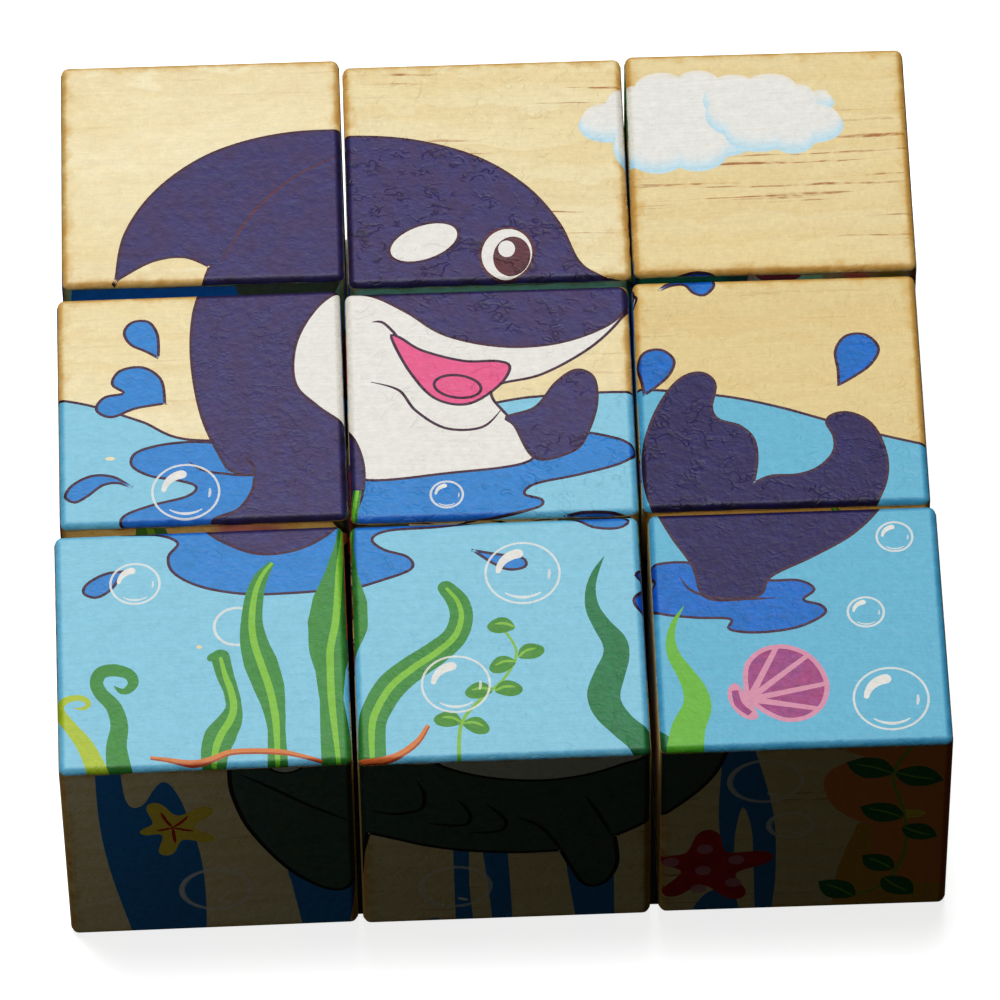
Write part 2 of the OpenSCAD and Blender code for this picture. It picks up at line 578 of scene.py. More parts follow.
def scallop(x, y, r, aim):
    """A fan shell about (x, y): a pale round fan with dark wedges between its ribs, and a small foot."""
    def spot(ahead, left):
        cos, sin = np.cos(degrees(aim)), np.sin(degrees(aim))
        return (x + r * (ahead * cos - left * sin), y + r * (ahead * sin + left * cos))
    foot = [spot(*p) for p in ((-0.80, 0.42), (-0.98, 0.50), (-1.14, 0.30), (-1.20, 0), (-1.14, -0.30),
                               (-0.98, -0.50), (-0.80, -0.42))]
    fan = [spot(*p) for p in ((-0.80, 0.12), (-0.66, 0.50), (-0.38, 0.88), (0.08, 1.04), (0.56, 0.90),
                              (0.90, 0.50), (1, 0), (0.90, -0.50), (0.56, -0.90), (0.08, -1.04),
                              (-0.38, -0.88), (-0.66, -0.50), (-0.80, -0.12))]
    hinge = ribbon([spot(-0.94, 0.34), spot(-1.04, 0), spot(-0.94, -0.34)], [0.14 * r, 0.17 * r, 0.14 * r])
    layers = area(curve(foot), "blush") + area(hinge, "rose")
    layers += area(curve(fan), "blush") + area(grow(curve(fan), -0.11 * r), "rose")
    for ahead, left in ((0.41, 0.93), (0.83, 0.40), (0.86, -0.42), (0.42, -0.93)):
        layers += area(ribbon([spot(-0.72, 0.05 * left), spot(ahead, left)], [0.15 * r, 0.11 * r], False),
                       "blush")
    layers += area(oval(*spot(-0.66, 0), 0.16 * r), "blush")
    return layers


# %% Whale and tail
def whale():
    """Throat and belly first, then the mouth, the dark back over them, the eye and the flipper."""
    throat = [(38, 70.5), (32.5, 70), (28.6, 64), (27.6, 58), (30, 51.5), (35.6, 47), (36.2, 41.4),
              (47, 41.8), (57.2, 43.4), (55.6, 48.5), (52.8, 53), (53.6, 55), (59, 56.4), (65, 60.2),
              (69, 64.6), (70, 67.8), (60, 67), (48, 69)]
    mouth = [(40.7, 62.7), (41.7, 62.7), (44.4, 60.6), (49.4, 58.8), (53.6, 58.6), (55.1, 57.6), (53.6, 54.8),
             (49.8, 52.2), (45.8, 53.2), (42.8, 57.4)]
    back = [(20.4, 42.9), (20.4, 42.9), (17.6, 50.4), (16.4, 59), (16.7, 66.5), (18.4, 72.6), (18.4, 72.6),
            (15.2, 74.2), (11.2, 73.6), (6.8, 70.8), (6.8, 70.8), (8, 78), (12, 84.8), (18.6, 90.2),
            (27, 93), (36, 93.4), (44, 92.4), (51.6, 89.4), (57.4, 84.6), (61.2, 78.8), (63.4, 72.8),
            (66, 70.4), (69, 69.4), (70.2, 67.4), (67.6, 63.8), (61.5, 61.2), (54.5, 60.8), (47.4, 62.8),
            (42.6, 66.6), (38.4, 69.2), (34.8, 69.4), (31.6, 66.6), (29.2, 61.5), (29, 55.6), (31.6, 52),
            (35.2, 48.4), (36.8, 43.4), (36.3, 38), (33.8, 34), (29.6, 31.4), (24.8, 30.9), (20.6, 32.8),
            (18.4, 35.2), (21.6, 36.8), (23.3, 39.4), (23.7, 41.8), (23.7, 41.8), (22, 42.1)]
    flipper = [(57.8, 43.6), (55.4, 48.6), (54.4, 50), (58, 51.4), (60.6, 55), (63.2, 56.9), (65.3, 55.6),
               (65.5, 51.6), (64.2, 47.2), (62.4, 44.6)]
    layers = lined(curve(throat), "white") + lined(curve(mouth), "pink")
    layers += lined(oval(48.6, 54.9, 2.9, 1.7, -12), "pink") + lined(curve(back), "navy")
    layers += stroke([(38, 56), (41.4, 54.6), (43.4, 51.4), (47, 48.6), (51.4, 48.6), (54, 51.4)])
    layers += stroke([(38.4, 65.2), (39.8, 65), (41.7, 62.5)]) + lined(curve(flipper), "navy")
    layers += stroke([(20, 73.4), (24, 81), (29.6, 86.6), (36, 90)], "eye", 0.3)
    layers += lined(oval(44.4, 76.4, 4.6, 2.7, 24), "white")
    layers += lined(oval(54.6, 74.2, 3.3, 4.1, -8), "white", "eye")
    return layers + area(oval(55.2, 73.8, 2.3, 3.1, -8), "eye") + area(oval(54.6, 75, 1.05, 1.3), "white")


def flukes():
    """The tail that stands out of the water on the right, with the water that it throws up."""
    ring = [(76, 27.2), (71.4, 27.4), (69.4, 26.2), (70.6, 24.6), (69, 22.4), (70.6, 20.2), (75, 19.3),
            (79.4, 18.9), (79.2, 17.4), (82.6, 16.8), (87.4, 17.4), (90.7, 19.2), (90.4, 20.5), (88.3, 21.4),
            (89.7, 22.9), (87.8, 24.3), (83, 24.6)]
    tail = [(76.4, 22.4), (75.2, 27), (72.8, 31.6), (70.9, 36.6), (70.4, 42.4), (71.6, 48), (73.8, 52.6),
            (76, 55), (78.3, 55.4), (79.7, 53.6), (79.1, 50), (80, 48.2), (82.4, 47.2), (84, 45.2),
            (84.3, 42), (83.7, 38.5), (83.7, 38.5), (85.9, 39.5), (89.1, 39.6), (91.7, 40.6), (93.6, 42.8),
            (93.8, 45.2), (93, 47.4), (94, 48.6), (96, 48.7), (98.1, 47.4), (99.4, 45), (100.1, 41.4),
            (99.7, 38), (98, 34.4), (94.6, 30.8), (89.8, 27.8), (84.6, 25), (83.2, 22.4), (80, 21.7)]
    ripple = stroke([(73.6, 25.4), (74.8, 23.4), (77.4, 22.2), (81, 21.8), (85, 21.8)])
    return lined(curve(ring), "wave_deep") + lined(curve(tail), "deep_navy") + ripple


# %% Sea and sky
def sea_and_sky():
    """The sea below its shore line, and two clouds on the bare wood."""
    shore = [(-1, 54.5), (4, 53.2), (10, 50.6), (17, 47.4), (36, 48), (53, 52.2), (60, 53.1), (68, 53.3),
             (74, 52.8), (81, 51.7), (87, 50), (93, 47.7), (99, 45.4), (106, 43.2)]
    sea = below(shore)
    layers = area(sea, "sea")
    layers += area(np.column_stack([np.clip(sea[:, 0], 70, None), sea[:, 1]]), "sea_right")
    layers += area(ribbon(shore, [LINE, LINE]), "line")
    layers += cloud([(68, 94, 3.8, 2.6), (70.5, 96, 3.2, 3), (74.4, 97.6, 4, 3.4), (79, 98, 3.6, 3.2),
                     (70.6, 90.4, 2.2, 3.4), (73.6, 89.4, 4, 3.4), (78.6, 89.6, 4, 3.4), (76, 93, 7, 4),
                     (82, 91.4, 4, 3)])
    layers += cloud([(83.4, 97.2, 3.8, 3.2), (88, 97.4, 4, 3), (91.6, 96, 2.6, 2.6), (94.4, 96.4, 1.6, 1.2),
                     (93, 92.8, 4, 2.6), (90.6, 91.4, 3, 2.8), (86.4, 92, 4.4, 3), (84.4, 94.8, 4.6, 3.4),
                     (88.4, 94.6, 5, 3.6)])
    return layers


def spray():
    """Ripples, bent drops and flying drops of water round the whale, and one thin bubble."""
    layers = stroke([(15.8, 44.2), (17.6, 42.8), (20.2, 42.2), (23.4, 41.7)])
    layers += stroke([(22.6, 44.6), (23.6, 43.2), (23.7, 41.6)])
    layers += lined(curve([(13, 53.2), (13, 53.2), (12.6, 56.8), (10.4, 58.8), (7.6, 58.4), (6.6, 56.4),
                           (8, 55), (5.6, 54.4), (4.6, 52.6), (6.4, 51.4), (9.4, 52.6)]), "wave")
    for bent in ([(8.7, 40.7), (8.7, 40.7), (6.6, 42.3), (4, 42.6), (1.6, 41.3), (0.7, 39.6), (1.8, 38.7),
                  (3.4, 39.6), (5.2, 41.1), (7, 41.4)], [(9.6, 29.1), (9.6, 29.1), (6.4, 28.9), (4, 27.5),
                                                         (3.5, 26.1), (5, 25.4), (6.8, 26.5), (8, 28.3)],
                 [(50, 30.6), (50, 30.6), (53, 29.9), (55.8, 29.3), (56.2, 28), (54.2, 27.6), (52.2, 28.7)],
                 [(61, 35), (61, 35), (63.4, 35.4), (67, 35.2), (68.9, 34.2), (67.6, 33.2), (64.8, 33.4),
                  (62.8, 34.5)]):
        layers += lined(curve(bent), "wave")
    layers += lined(curve([(73.4, 68.3), (73.4, 68.3), (75, 69.6), (77.4, 70.3), (79.6, 70), (80.2, 68.8),
                           (79, 67.4), (77.6, 67.8), (76.6, 69), (75, 69)]), "wave_deep")
    for tip_x, tip_y, length, tilt in ((12.3, 60.2, 6.4, 118), (71, 52.3, 7.2, 70), (94.8, 53, 8.4, 63)):
        layers += drop(tip_x, tip_y, length, tilt, "wave" if tip_x < 70 else "wave_deep")
    return layers + [([oval(21.8, 20.3, 2.9), oval(21.8, 20.3, 2.55)], "white", 0.75)]


# %% Weed along the bottom
def weed_bed():
    """Ribbons of kelp, curled weed, a twig with small leaves, and two rust-coloured stems."""
    layers = kelp([(18.5, -1), (18.7, 2), (19.4, 4.4), (20.6, 6.6), (21.1, 8.6), (20.8, 11), (20.2, 13.2),
                   (19.7, 15.9)], [2.6, 3.4, 3.9, 3, 1.9, 1.8, 2.1, 2.3]) + area(oval(18.9, 16, 0.9, 0.6,
                                                                                      30), "kelp")
    layers += kelp([(26.1, -1), (26.1, 5), (25.9, 8), (25.4, 11.2), (24.5, 14.8), (23.8, 17.8), (23.6, 21),
                    (24.1, 25), (25, 27.6), (26.3, 29.5)], [2.5, 2.1, 2.7, 3.7, 4.1, 3.4, 2.6, 2.2, 1.7,
                                                            0.7])
    layers += kelp([(33.4, -1), (33.1, 3.7), (32.8, 9), (32.8, 13.3), (32.9, 16.4), (33.6, 20.1),
                    (34, 23.9), (34.3, 27.6), (34.8, 31.8), (35.2, 35), (36, 39.6)],
                   [4.2, 3.6, 2.8, 3.6, 5.2, 6.7, 5.9, 3.4, 1.7, 1.3, 1])
    layers += kelp([(36.9, -1), (37, 5.3), (38, 8.5), (39.7, 11.3), (42.2, 13.6), (45, 15.7), (47.3, 18),
                    (48.2, 20.8), (47.8, 23.2), (46.5, 25.2)], [3.4, 3.3, 3.6, 3.8, 3.6, 3.4, 3, 2.8, 2.7,
                                                                2.1])
    layers += kelp([(71, -1), (69, 1.8), (66.8, 4.2), (65.2, 6.6), (64.8, 8.9), (65.6, 11.6), (66.5, 14.2),
                    (66.4, 16.4), (65, 19), (64, 21.5), (63.9, 24.3), (64.6, 26.8), (65.7, 29)],
                   [4.4, 3.6, 3.4, 3.8, 4, 3.7, 3.2, 3, 2.2, 1.7, 1.2, 0.8, 0.1], "bottle", None)
    layers += kelp([(73, -1), (73.6, 3), (74.8, 6.2), (74.6, 8.8), (73.6, 11.2), (72.4, 13.8), (72.1, 16.2),
                    (72.6, 18.6), (73.9, 21)], [4.6, 4.1, 3.5, 2.8, 2.1, 1.6, 1.1, 0.7, 0.1], "grass", None)
    layers += kelp([(7.4, -1), (7, 3.2), (7.4, 6.4), (6.8, 9.2), (5.3, 11.3), (4.8, 12.9), (5.4, 14.3),
                    (7, 14.6), (8.7, 13.9), (9.2, 12.6), (8.5, 11.6), (7.7, 11.5), (6.9, 12.3)],
                   [3.2, 2.5, 2.1, 1.9, 1.7, 1.6, 1.8, 1.8, 1.5, 1.3, 1.1, 0.8, 0.1], "kelp", None)
    layers += kelp([(5, -1), (3.4, 3.5), (1.6, 6.5), (0.4, 8.6), (0.5, 10), (1.7, 10.7), (3, 10.7),
                    (3.8, 9.9), (3.2, 9.2), (2, 9.3)], [2.6, 2.1, 1.6, 1.3, 1.1, 0.9, 0.8, 0.7, 0.5, 0.1],
                   "olive", None)
    layers += area(ribbon([(47.2, -1), (47.6, 5), (50, 8.6), (53, 11.6), (54.6, 15.6), (52.4, 20)],
                          [0.5, 0.3]), "leaf")
    layers += leaves([(47.7, 5.4, 166), (47.8, 5.3, -18), (51.6, 9.9, 182), (51.8, 9.8, 6), (54.5, 14, 196),
                      (54.8, 14.6, 24), (54.6, 19, 172)])
    for stick, widths in (([(11, 1.6), (13, 1.2), (16, 0.6), (18.2, 1), (20.4, 1.9), (23, 2), (26.5, 1.7),
                            (29, 1), (31.4, 0.2)], [0.4, 0.9, 0.8, 0.8, 0.3]),
                          ([(35, 0.2), (38.2, 0.4), (40.4, 1.2), (42.4, 2.9), (43.7, 5.1)],
                           [0.8, 0.9, 0.9, 0.5])):
        lit_side = ribbon(np.array(stick) + (-0.05, 0.18), np.array(widths) * 0.7)
        layers += area(ribbon(stick, widths), "rust_dark") + area(lit_side, "rust")
    return layers


# %% Whale picture
def whale_picture():
    """Sky of bare wood, sea, splash, whale, tail, bubbles, weed and a shell."""
    splash = [(20, 46.8), (14, 47.1), (9.6, 46), (8.8, 44), (11, 42.3), (14.6, 41.4), (16.6, 40.4),
              (15.4, 39), (11, 37.8), (7.8, 36.4), (7.8, 34.8), (12.6, 34.3), (15, 33), (13.8, 31),
              (14.4, 28.6), (17.6, 26.4), (22.6, 25.1), (28, 24.9), (34, 25.3), (38.6, 26.6), (42.4, 28.2),
              (42, 30), (39.2, 31.2), (37.8, 32.8), (39.8, 34), (46, 34.3), (52, 35), (57.6, 36.2),
              (58.3, 37.4), (56.2, 38.3), (57.6, 39.8), (63, 41), (68.3, 42.6), (69.9, 44.4), (67.4, 46.4),
              (61, 47.3), (50, 44), (34, 44)]
    layers = sea_and_sky() + lined(curve(splash), "wave") + whale() + flukes() + spray() + weed_bed()
    layers += scallop(85, 9, 5.6, 26)
    for x, y, r in ((15.3, 39.7, 4.2), (9.7, 27.2, 3.1), (46.8, 38.6, 2.1), (55.8, 27, 4.6), (47.2, 11, 4.2),
                    (99.8, 30.3, 2.3), (95.7, 19.3, 2.3), (98, 6.5, 4.6)):
        layers += bubble(x, y, r)
    return layers + area(oval(6.2, 45.1, 0.6, 0.28), "bare") + area(oval(17.2, 17.5, 0.34, 0.26), "bare")


# %% [markdown]
# ## The picture on the fronts: a seal among weed and starfish
# The fronts of the first row show its lowest third, and thin strips of the other two thirds show in the gaps.

# %% Seal picture
def leaf(x, y, length, tilt, width=0.46):
    """Pointed leaf that starts at (x, y): dark, with a lighter rib."""
    shape = np.array([(0, 0), (0.14, 0.30), (0.42, 0.5), (0.74, 0.36), (1, 0.02), (1, 0.02), (0.76, -0.36),
                      (0.42, -0.5), (0.12, -0.28)]) * (length, length * width)
    cos, sin = np.cos(degrees(tilt)), np.sin(degrees(tilt))
    turn = np.array([(cos, sin), (-sin, cos)])
    rib = np.array([(0, 0), (0.4, -0.04), (0.8, 0)]) * length
    return area(curve(shape @ turn + (x, y)), "bottle") + stroke(rib @ turn + (x, y), "leaf", 0.3)


def plain_ring(x, y, r):
    """A bubble drawn as a ring, bold on its left, and a short gleam."""
    angle = degrees(np.linspace(100, 250, 9))
    bold = np.stack([x + (r - 0.35) * np.cos(angle), y + (r - 0.35) * np.sin(angle)], axis=1)
    layers = [([oval(x, y, r), oval(x, y, r - 0.55)], "white", 0.6)]
    layers += area(ribbon(bold, [0.2, 0.75, 0.75, 0.2]), "white", 0.4)
    return layers + stroke([(x + 0.05 * r, y - 0.55 * r), (x + 0.34 * r, y - 0.66 * r)], "white", 0.5)


def seal():
    """A round dark seal: body with two flippers, pale belly, and a head with whiskers."""
    body = [(20.8, 40), (20.3, 35), (20.3, 31), (20.8, 27.4), (22, 22.6), (24.2, 17.5), (27, 12.6), (30, 9.3),
            (32.2, 8), (33.8, 8.5), (34.8, 11), (35.2, 16), (35.9, 20.2), (35.9, 20.2), (39, 18.8), (43, 17),
            (48, 15.6), (54, 14.9), (59, 15), (59, 15), (60.4, 10.8), (61.6, 7.9), (63, 7.1), (64.6, 8.2),
            (65.8, 12), (65.5, 17.7), (65.5, 17.7), (69.4, 20.6), (73, 24.4), (75.8, 28.4), (77.6, 33),
            (78.6, 40), (76, 52), (66, 63), (50, 67), (34, 64), (24, 55)]
    layers = lined(curve(body), "slate", "soot", 0.55)
    layers += lined(curve([(40, 38.5), (43.4, 35), (46.6, 32.6), (51, 30.8), (56.6, 30), (61.6, 30.7),
                           (66, 32.6), (69.8, 35.6), (69, 46), (60, 54), (50, 54), (42, 48)]), "belly",
                    "soot", 0.5)
    for line in ([(21.4, 33.4), (25, 30.4), (29.4, 26.4), (34.6, 22.4)],
                 [(41.8, 31), (42.7, 28), (42.2, 24.8), (39, 24), (36.2, 25)],
                 [(46.6, 26.6), (48.1, 23.6), (47.4, 21.1), (43, 21.7)],
                 [(50, 25.6), (52.4, 21.8), (51.6, 19.6), (48, 19.4)],
                 [(53.8, 22.4), (56.4, 20.4), (58, 17.6), (59.2, 14.8)],
                 [(62, 26.4), (63.6, 22.4), (65.2, 17.6)]):
        layers += stroke(line, "soot", 0.5)
    layers += lined(oval(27, 36, 2.5, 2.7), "belly", "soot")
    layers += lined(oval(51, 75, 19, 16), "slate", "soot", 0.55) + area(oval(51, 69, 9, 5.6), "belly")
    layers += area(oval(51, 72.4, 2.6, 1.6), "soot") + stroke([(45, 67.4), (51, 69.4), (57, 67.4)], "soot")
    for side in (-1, 1):
        layers += area(oval(51 + 8 * side, 78, 2, 2.6), "soot")
        layers += area(oval(50.6 + 8 * side, 79, 0.7, 0.9), "white")
        for k in range(3):
            root, bend, tip = (6, 69 - k), (11, 69.4 - 1.6 * k), (16, 69 - 2.4 * k)
            layers += stroke([(51 + side * reach, height) for reach, height in (root, bend, tip)], "soot",
                             0.3)
    return layers


def blue_weed():
    """Broad blue weeds in silhouette: one on the left, bands in the middle, a forked one on the right."""
    layers = area(curve([(4.6, 50), (4.3, 36), (4.4, 24), (5.4, 13), (7.7, -1), (7.7, -1), (16.4, -1),
                         (16.4, -1), (16.6, 8), (16.2, 17), (14.6, 27), (13.3, 31.4), (12.2, 32.4),
                         (11.1, 30.8), (9.9, 28), (8.7, 27.2), (7.8, 28.6), (7.4, 33), (6.8, 48)]), "blue")
    for points, width in (([(30, 20), (30.9, 12), (31, 6), (31, -1)], [8, 8.4, 7, 5.4]),
                          ([(47, 20), (47, 8), (47.3, -1)], [2, 1.8, 2.2]),
                          ([(50.8, 20), (51.5, 8), (51.9, -1)], [3.2, 2.7, 2.4]),
                          ([(62, 20), (62.6, 10), (63.2, -1)], [5.8, 5.6, 4.6])):
        layers += area(ribbon(points, width), "blue")
    layers += area(oval(43.6, 0, 1.1, 1.3), "blue")
    layers += area(curve([(79, 46), (77.7, 35), (77.3, 28), (77.2, 20), (77.8, 12.6), (79, 12.4),
                          (79.2, 17), (79.8, 22), (80.4, 22), (81.2, 17.5), (81.5, 10), (81.8, -1),
                          (81.8, -1), (83.7, -1), (83.7, -1), (84.2, 8), (84, 18), (83.2, 25), (81.5, 34)]),
                   "blue")
    return layers + area(curve([(74.2, -1), (75, 3), (77, 5.2), (79, 4.6), (79.5, -1)]), "blue")


def coral_bank():
    """Orange coral over an ochre one, with a twining vine of dark leaves."""
    layers = area(curve([(95.4, 19), (93.4, 15.8), (92.4, 12), (91.5, 7), (91, -2), (91, -2), (108, -2),
                         (108, 19)]), "ochre")
    layers += area(curve([(88, 48), (90, 40), (92, 34.4), (94.6, 32.2), (92, 31.2), (90.2, 29.4),
                          (89.7, 27), (90.1, 24.4), (91.2, 21.8), (93.2, 19.5), (95.1, 18.1), (95.9, 15.8),
                          (95.5, 12), (96.2, 8.4), (98.8, 6.3), (102.6, 5.1), (108, 4.5), (108, 4.5),
                          (108, 52)]), "orange")
    layers += area(oval(100.2, 20.1, 1.95, 0.95), "yellow")
    layers += area(ribbon([(99.8, 46), (101, 40), (100.1, 34.6), (98.4, 30.6), (98, 27), (99.1, 22.4),
                           (99.8, 17.4), (99.7, 12), (98.6, 7.6), (96.4, 4.2), (93.4, 2.9)], [0.4, 0.4]),
                   "leaf")
    for x, y, length, tilt in ((97.9, 28.8, 6.2, 154), (98.3, 29, 6.1, -20), (99.3, 19.3, 5.8, 152),
                               (99.4, 17.4, 4.9, -31), (98.4, 8.2, 5, 138), (97.3, 6.6, 5.4, -47),
                               (93.8, 2.6, 5.6, 140), (100, 37, 5.4, 40)):
        layers += leaf(x, y, length, tilt, 0.7)
    return layers


def seal_picture():
    """Blue weed, coral and starfish on bare wood, with the seal over them."""
    layers = blue_weed() + coral_bank() + seal()
    layers += area(star(13.2, 22.4, 5.7, 24, 0.46, (1.08, 0.72, 1, 0.95, 1.1)), "yellow")
    for end in ((11.8, 26), (15, 25), (15.6, 21.8), (13.3, 19.4), (11.2, 22.2)):
        halfway = (13.1 * 0.45 + end[0] * 0.55, 22.5 * 0.5 + end[1] * 0.5)
        layers += stroke([(13.1, 22.7), halfway, end], "red", 0.42)
    layers += area(star(75.6, 9.9, 8.2, -3, 0.5, (1, 0.72, 0.92, 1, 1.04)), "red")
    for x, y in ((75.6, 13.9), (79.4, 11.4), (75.4, 9.3), (79.1, 6.5), (74.9, 5.4), (71.5, 11.3)):
        layers += area(oval(x, y, 1.0), "blush", 0.8)
    for x, y, r in ((17.9, 9.1, 4.5), (46.2, 7.9, 4.5), (82.7, 28, 4.6), (85.8, 18.5, 2.9), (88, 62, 3.4)):
        layers += plain_ring(x, y, r)
    layers += area(curve([(2, 106), (5, 84), (11, 78), (15, 90), (22, 106)]), "blue")
    layers += area(curve([(22, 106), (24, 98), (30, 96), (34, 106)]), "shell_brown")
    layers += area(curve([(70, 106), (72, 96), (79, 94), (84, 106)]), "bottle")
    layers += area(oval(88, 106, 3.4), "red")
    layers += area(curve([(94, 106), (96, 86), (100, 74), (106, 84), (107, 106)]), "orange")
    layers += kelp([(8, 60), (11, 68), (8, 76)], [1, 4, 0.4])
    return layers + kelp([(94, 52), (97, 60), (93, 70)], [1, 5, 0.4], "bottle")


# %% [markdown]
# ## Four pictures for the hidden faces
# The other faces lie against each other, on the table or at the back. They carry pictures of the same kind: a
# turtle behind, an octopus underneath, a crab on the left-hand faces and reef fish on the right-hand ones.

# %% Creatures
def moved(layers, x, y, size=1.0, tilt=0.0, flip=1):
    """Layers drawn about the origin, scaled, mirrored when flip is -1, turned and put at (x, y)."""
    cos, sin = size * np.cos(degrees(tilt)), size * np.sin(degrees(tilt))
    turn = np.array([(flip * cos, flip * sin), (-sin, cos)])
    return [([ring @ turn + (x, y) for ring in rings], colour, cover) for rings, colour, cover in layers]


def eye(x, y, r):
    """Round eye with a dark pupil and a gleam."""
    layers = lined(oval(x, y, r), "white", "eye", 0.3) + area(oval(x + 0.2 * r, y, 0.6 * r), "eye")
    return layers + area(oval(x, y + 0.3 * r, 0.22 * r), "white")


def fish(body, stripe):
    """Reef fish that faces right: tail, fins, oval body with two stripes, gill line and eye."""
    layers = lined(curve([(-7, 0), (-7, 0), (-12, 5.4), (-13.4, 4.6), (-11.6, 0), (-13.4, -4.6),
                          (-12, -5.4)]), stripe)
    layers += lined(curve([(-3, 4.6), (-2, 8.6), (3, 8), (5, 4.4)]), stripe)
    layers += lined(curve([(-2, -4.6), (-3, -8), (1.6, -6)]), stripe)
    layers += lined(oval(0, 0, 9, 6), body)
    for x, reach in ((-3.4, 4.9), (2.2, 5.2)):
        layers += lined(ribbon([(x, -reach), (x + 1, 0), (x, reach)], [1.4, 2.4, 1.4]), stripe, width=0.28)
    layers += stroke([(4.4, 3.6), (5.2, 0.4), (4.2, -3.2)]) + stroke([(7, -2), (8, -1.6), (8.7, -1.4)])
    layers += eye(6, 1.6, 1.3)
    return layers + lined(curve([(-1.4, -0.4), (1.6, 0.8), (2, -1.8), (-1, -2.6)]), stripe, width=0.28)


def turtle():
    """Turtle seen from the side and above: four flippers, tail, head, and a shell of plates."""
    layers = []
    for points in ([(12, 4), (20, 13), (27, 17), (26, 11), (18, 0)],
                   [(-10, 6), (-14, 15), (-20, 19), (-19, 11), (-16, 3)],
                   [(12, -4), (17, -14), (14, -20), (8, -15), (4, -7)],
                   [(-14, -3), (-20, -9), (-24, -15), (-16, -14), (-9, -8)]):
        layers += lined(curve(points), "turtle")
        middle = np.mean(points, axis=0)
        layers += area(oval(*middle, 1.6, 1.1, 30), "bottle")
        layers += area(oval(*(middle + 2.4), 0.9, 0.7), "bottle")
    layers += lined(curve([(-18, 1), (-25, 3), (-25, 3), (-19, -3)]), "turtle")
    layers += lined(oval(26, 3, 7, 5.6, 16), "turtle")
    layers += eye(28, 5, 1.7) + stroke([(28, 0), (30.6, 0.6), (32, 2.4)])
    layers += lined(oval(0, 0, 20, 13), "shell_brown", width=0.5)
    layers += [([oval(0, 0, 19, 12), oval(0, 0, 16.6, 9.8)], "ochre", 1.0)]
    for x, y, r in ((0, 0, 4.6), (-9, 0, 3.8), (9, 0, 3.8), (-4.6, 5.6, 3), (4.6, 5.6, 3), (-4.6, -5.6, 3),
                    (4.6, -5.6, 3)):
        angle = degrees(np.arange(6) * 60)
        plate = np.stack([x + r * np.cos(angle), y + 0.9 * r * np.sin(angle)], axis=1)
        layers += lined(even(plate, True), "ochre" if y == 0 else "rust", width=0.3)
    return layers


def octopus():
    """Octopus: eight tapering arms that curl at their ends, with pale suckers, under a round head."""
    layers = []
    for k, aim in enumerate((198, 222, 244, 262, 278, 296, 318, 342)):
        bend = -1 if k < 4 else 1
        turn = degrees(aim + bend * np.array([0, 4, 14, 34, 66, 110]))
        lengths = np.array([0.1, 9, 8, 7, 5, 4])[:, None]
        path = np.cumsum(lengths * np.stack([np.cos(turn), np.sin(turn)], axis=1), axis=0)
        layers += lined(ribbon(path, [8, 6.6, 5, 3.4, 2.2, 0.6]), "coral")
        for spot, r in zip(path[1:5], (1.1, 0.9, 0.7, 0.5)):
            layers += area(oval(*spot, r), "blush")
    layers += lined(curve([(-10, -3), (-13, 8), (-14, 17), (-9, 27), (0, 31), (9, 27), (14, 17), (13, 8),
                           (10, -3), (0, -6)]), "coral")
    layers += area(oval(-6, 23, 2.4, 1.6, 30), "blush") + area(oval(5, 26, 1.5, 1), "blush")
    layers += area(oval(9, 20, 1.2), "blush")
    return layers + eye(-5, 9, 3) + eye(5, 9, 3) + stroke([(-3.6, 2.6), (0, 1), (3.6, 2.6)], width=0.5)


def crab():
    """Crab: eight bent legs, two claws, eyes on stalks and a wide shell."""
    layers = []
    for side in (-1, 1):
        for k in range(4):
            reach, drop_by = 23 - 1.6 * k, 2.5 + 4.2 * k
            knee, toe = ((reach - 6) * side, 2.4 - drop_by), (reach * side, -6 - drop_by)
            layers += lined(ribbon([(9 * side, -2 - k), knee, toe], [2.8, 2.2, 0.4]), "red")
        layers += lined(ribbon([(11 * side, 4), (17 * side, 8), (18 * side, 14)], [4, 3.4, 3.6]), "red")
        claw = [(17, 12), (12.4, 17), (13, 23), (18, 26), (18, 26), (17.6, 21), (20.6, 25), (24, 22),
                (23.4, 16), (20, 12)]
        layers += lined(curve([(side * x, y) for x, y in claw]), "red")
        layers += lined(ribbon([(4 * side, 8), (4.8 * side, 13)], [1.4, 1.2]), "red")
        layers += eye(5 * side, 14.4, 2.2)
    layers += lined(curve([(-15, 3), (-11, 9), (0, 11), (11, 9), (15, 3), (11, -7), (0, -10), (-11, -7)]),
                    "red", width=0.5)
    for x, y, r in ((-8, 5, 1.4), (8, 5, 1.4), (0, 7.4, 1.2), (-4.6, 1, 0.8), (4.6, 1, 0.8)):
        layers += area(oval(x, y, r), "coral")
    return layers + stroke([(-5, -3.4), (0, -5.4), (5, -3.4)], width=0.5)


def rocks(places, colour="slate"):
    """Rounded stones at places given as x, y, width and height, each with a pale top."""
    layers = []
    for x, y, wide, high in places:
        stone = [(x + across * wide, y + up * high)
                 for across, up in ((-1, 0), (-0.8, 0.7), (-0.2, 1), (0.5, 0.8), (1, 0))]
        layers += lined(curve(stone), colour)
        layers += area(oval(x - 0.1 * wide, y + 0.72 * high, 0.4 * wide, 0.12 * high), "belly", 0.5)
    return layers


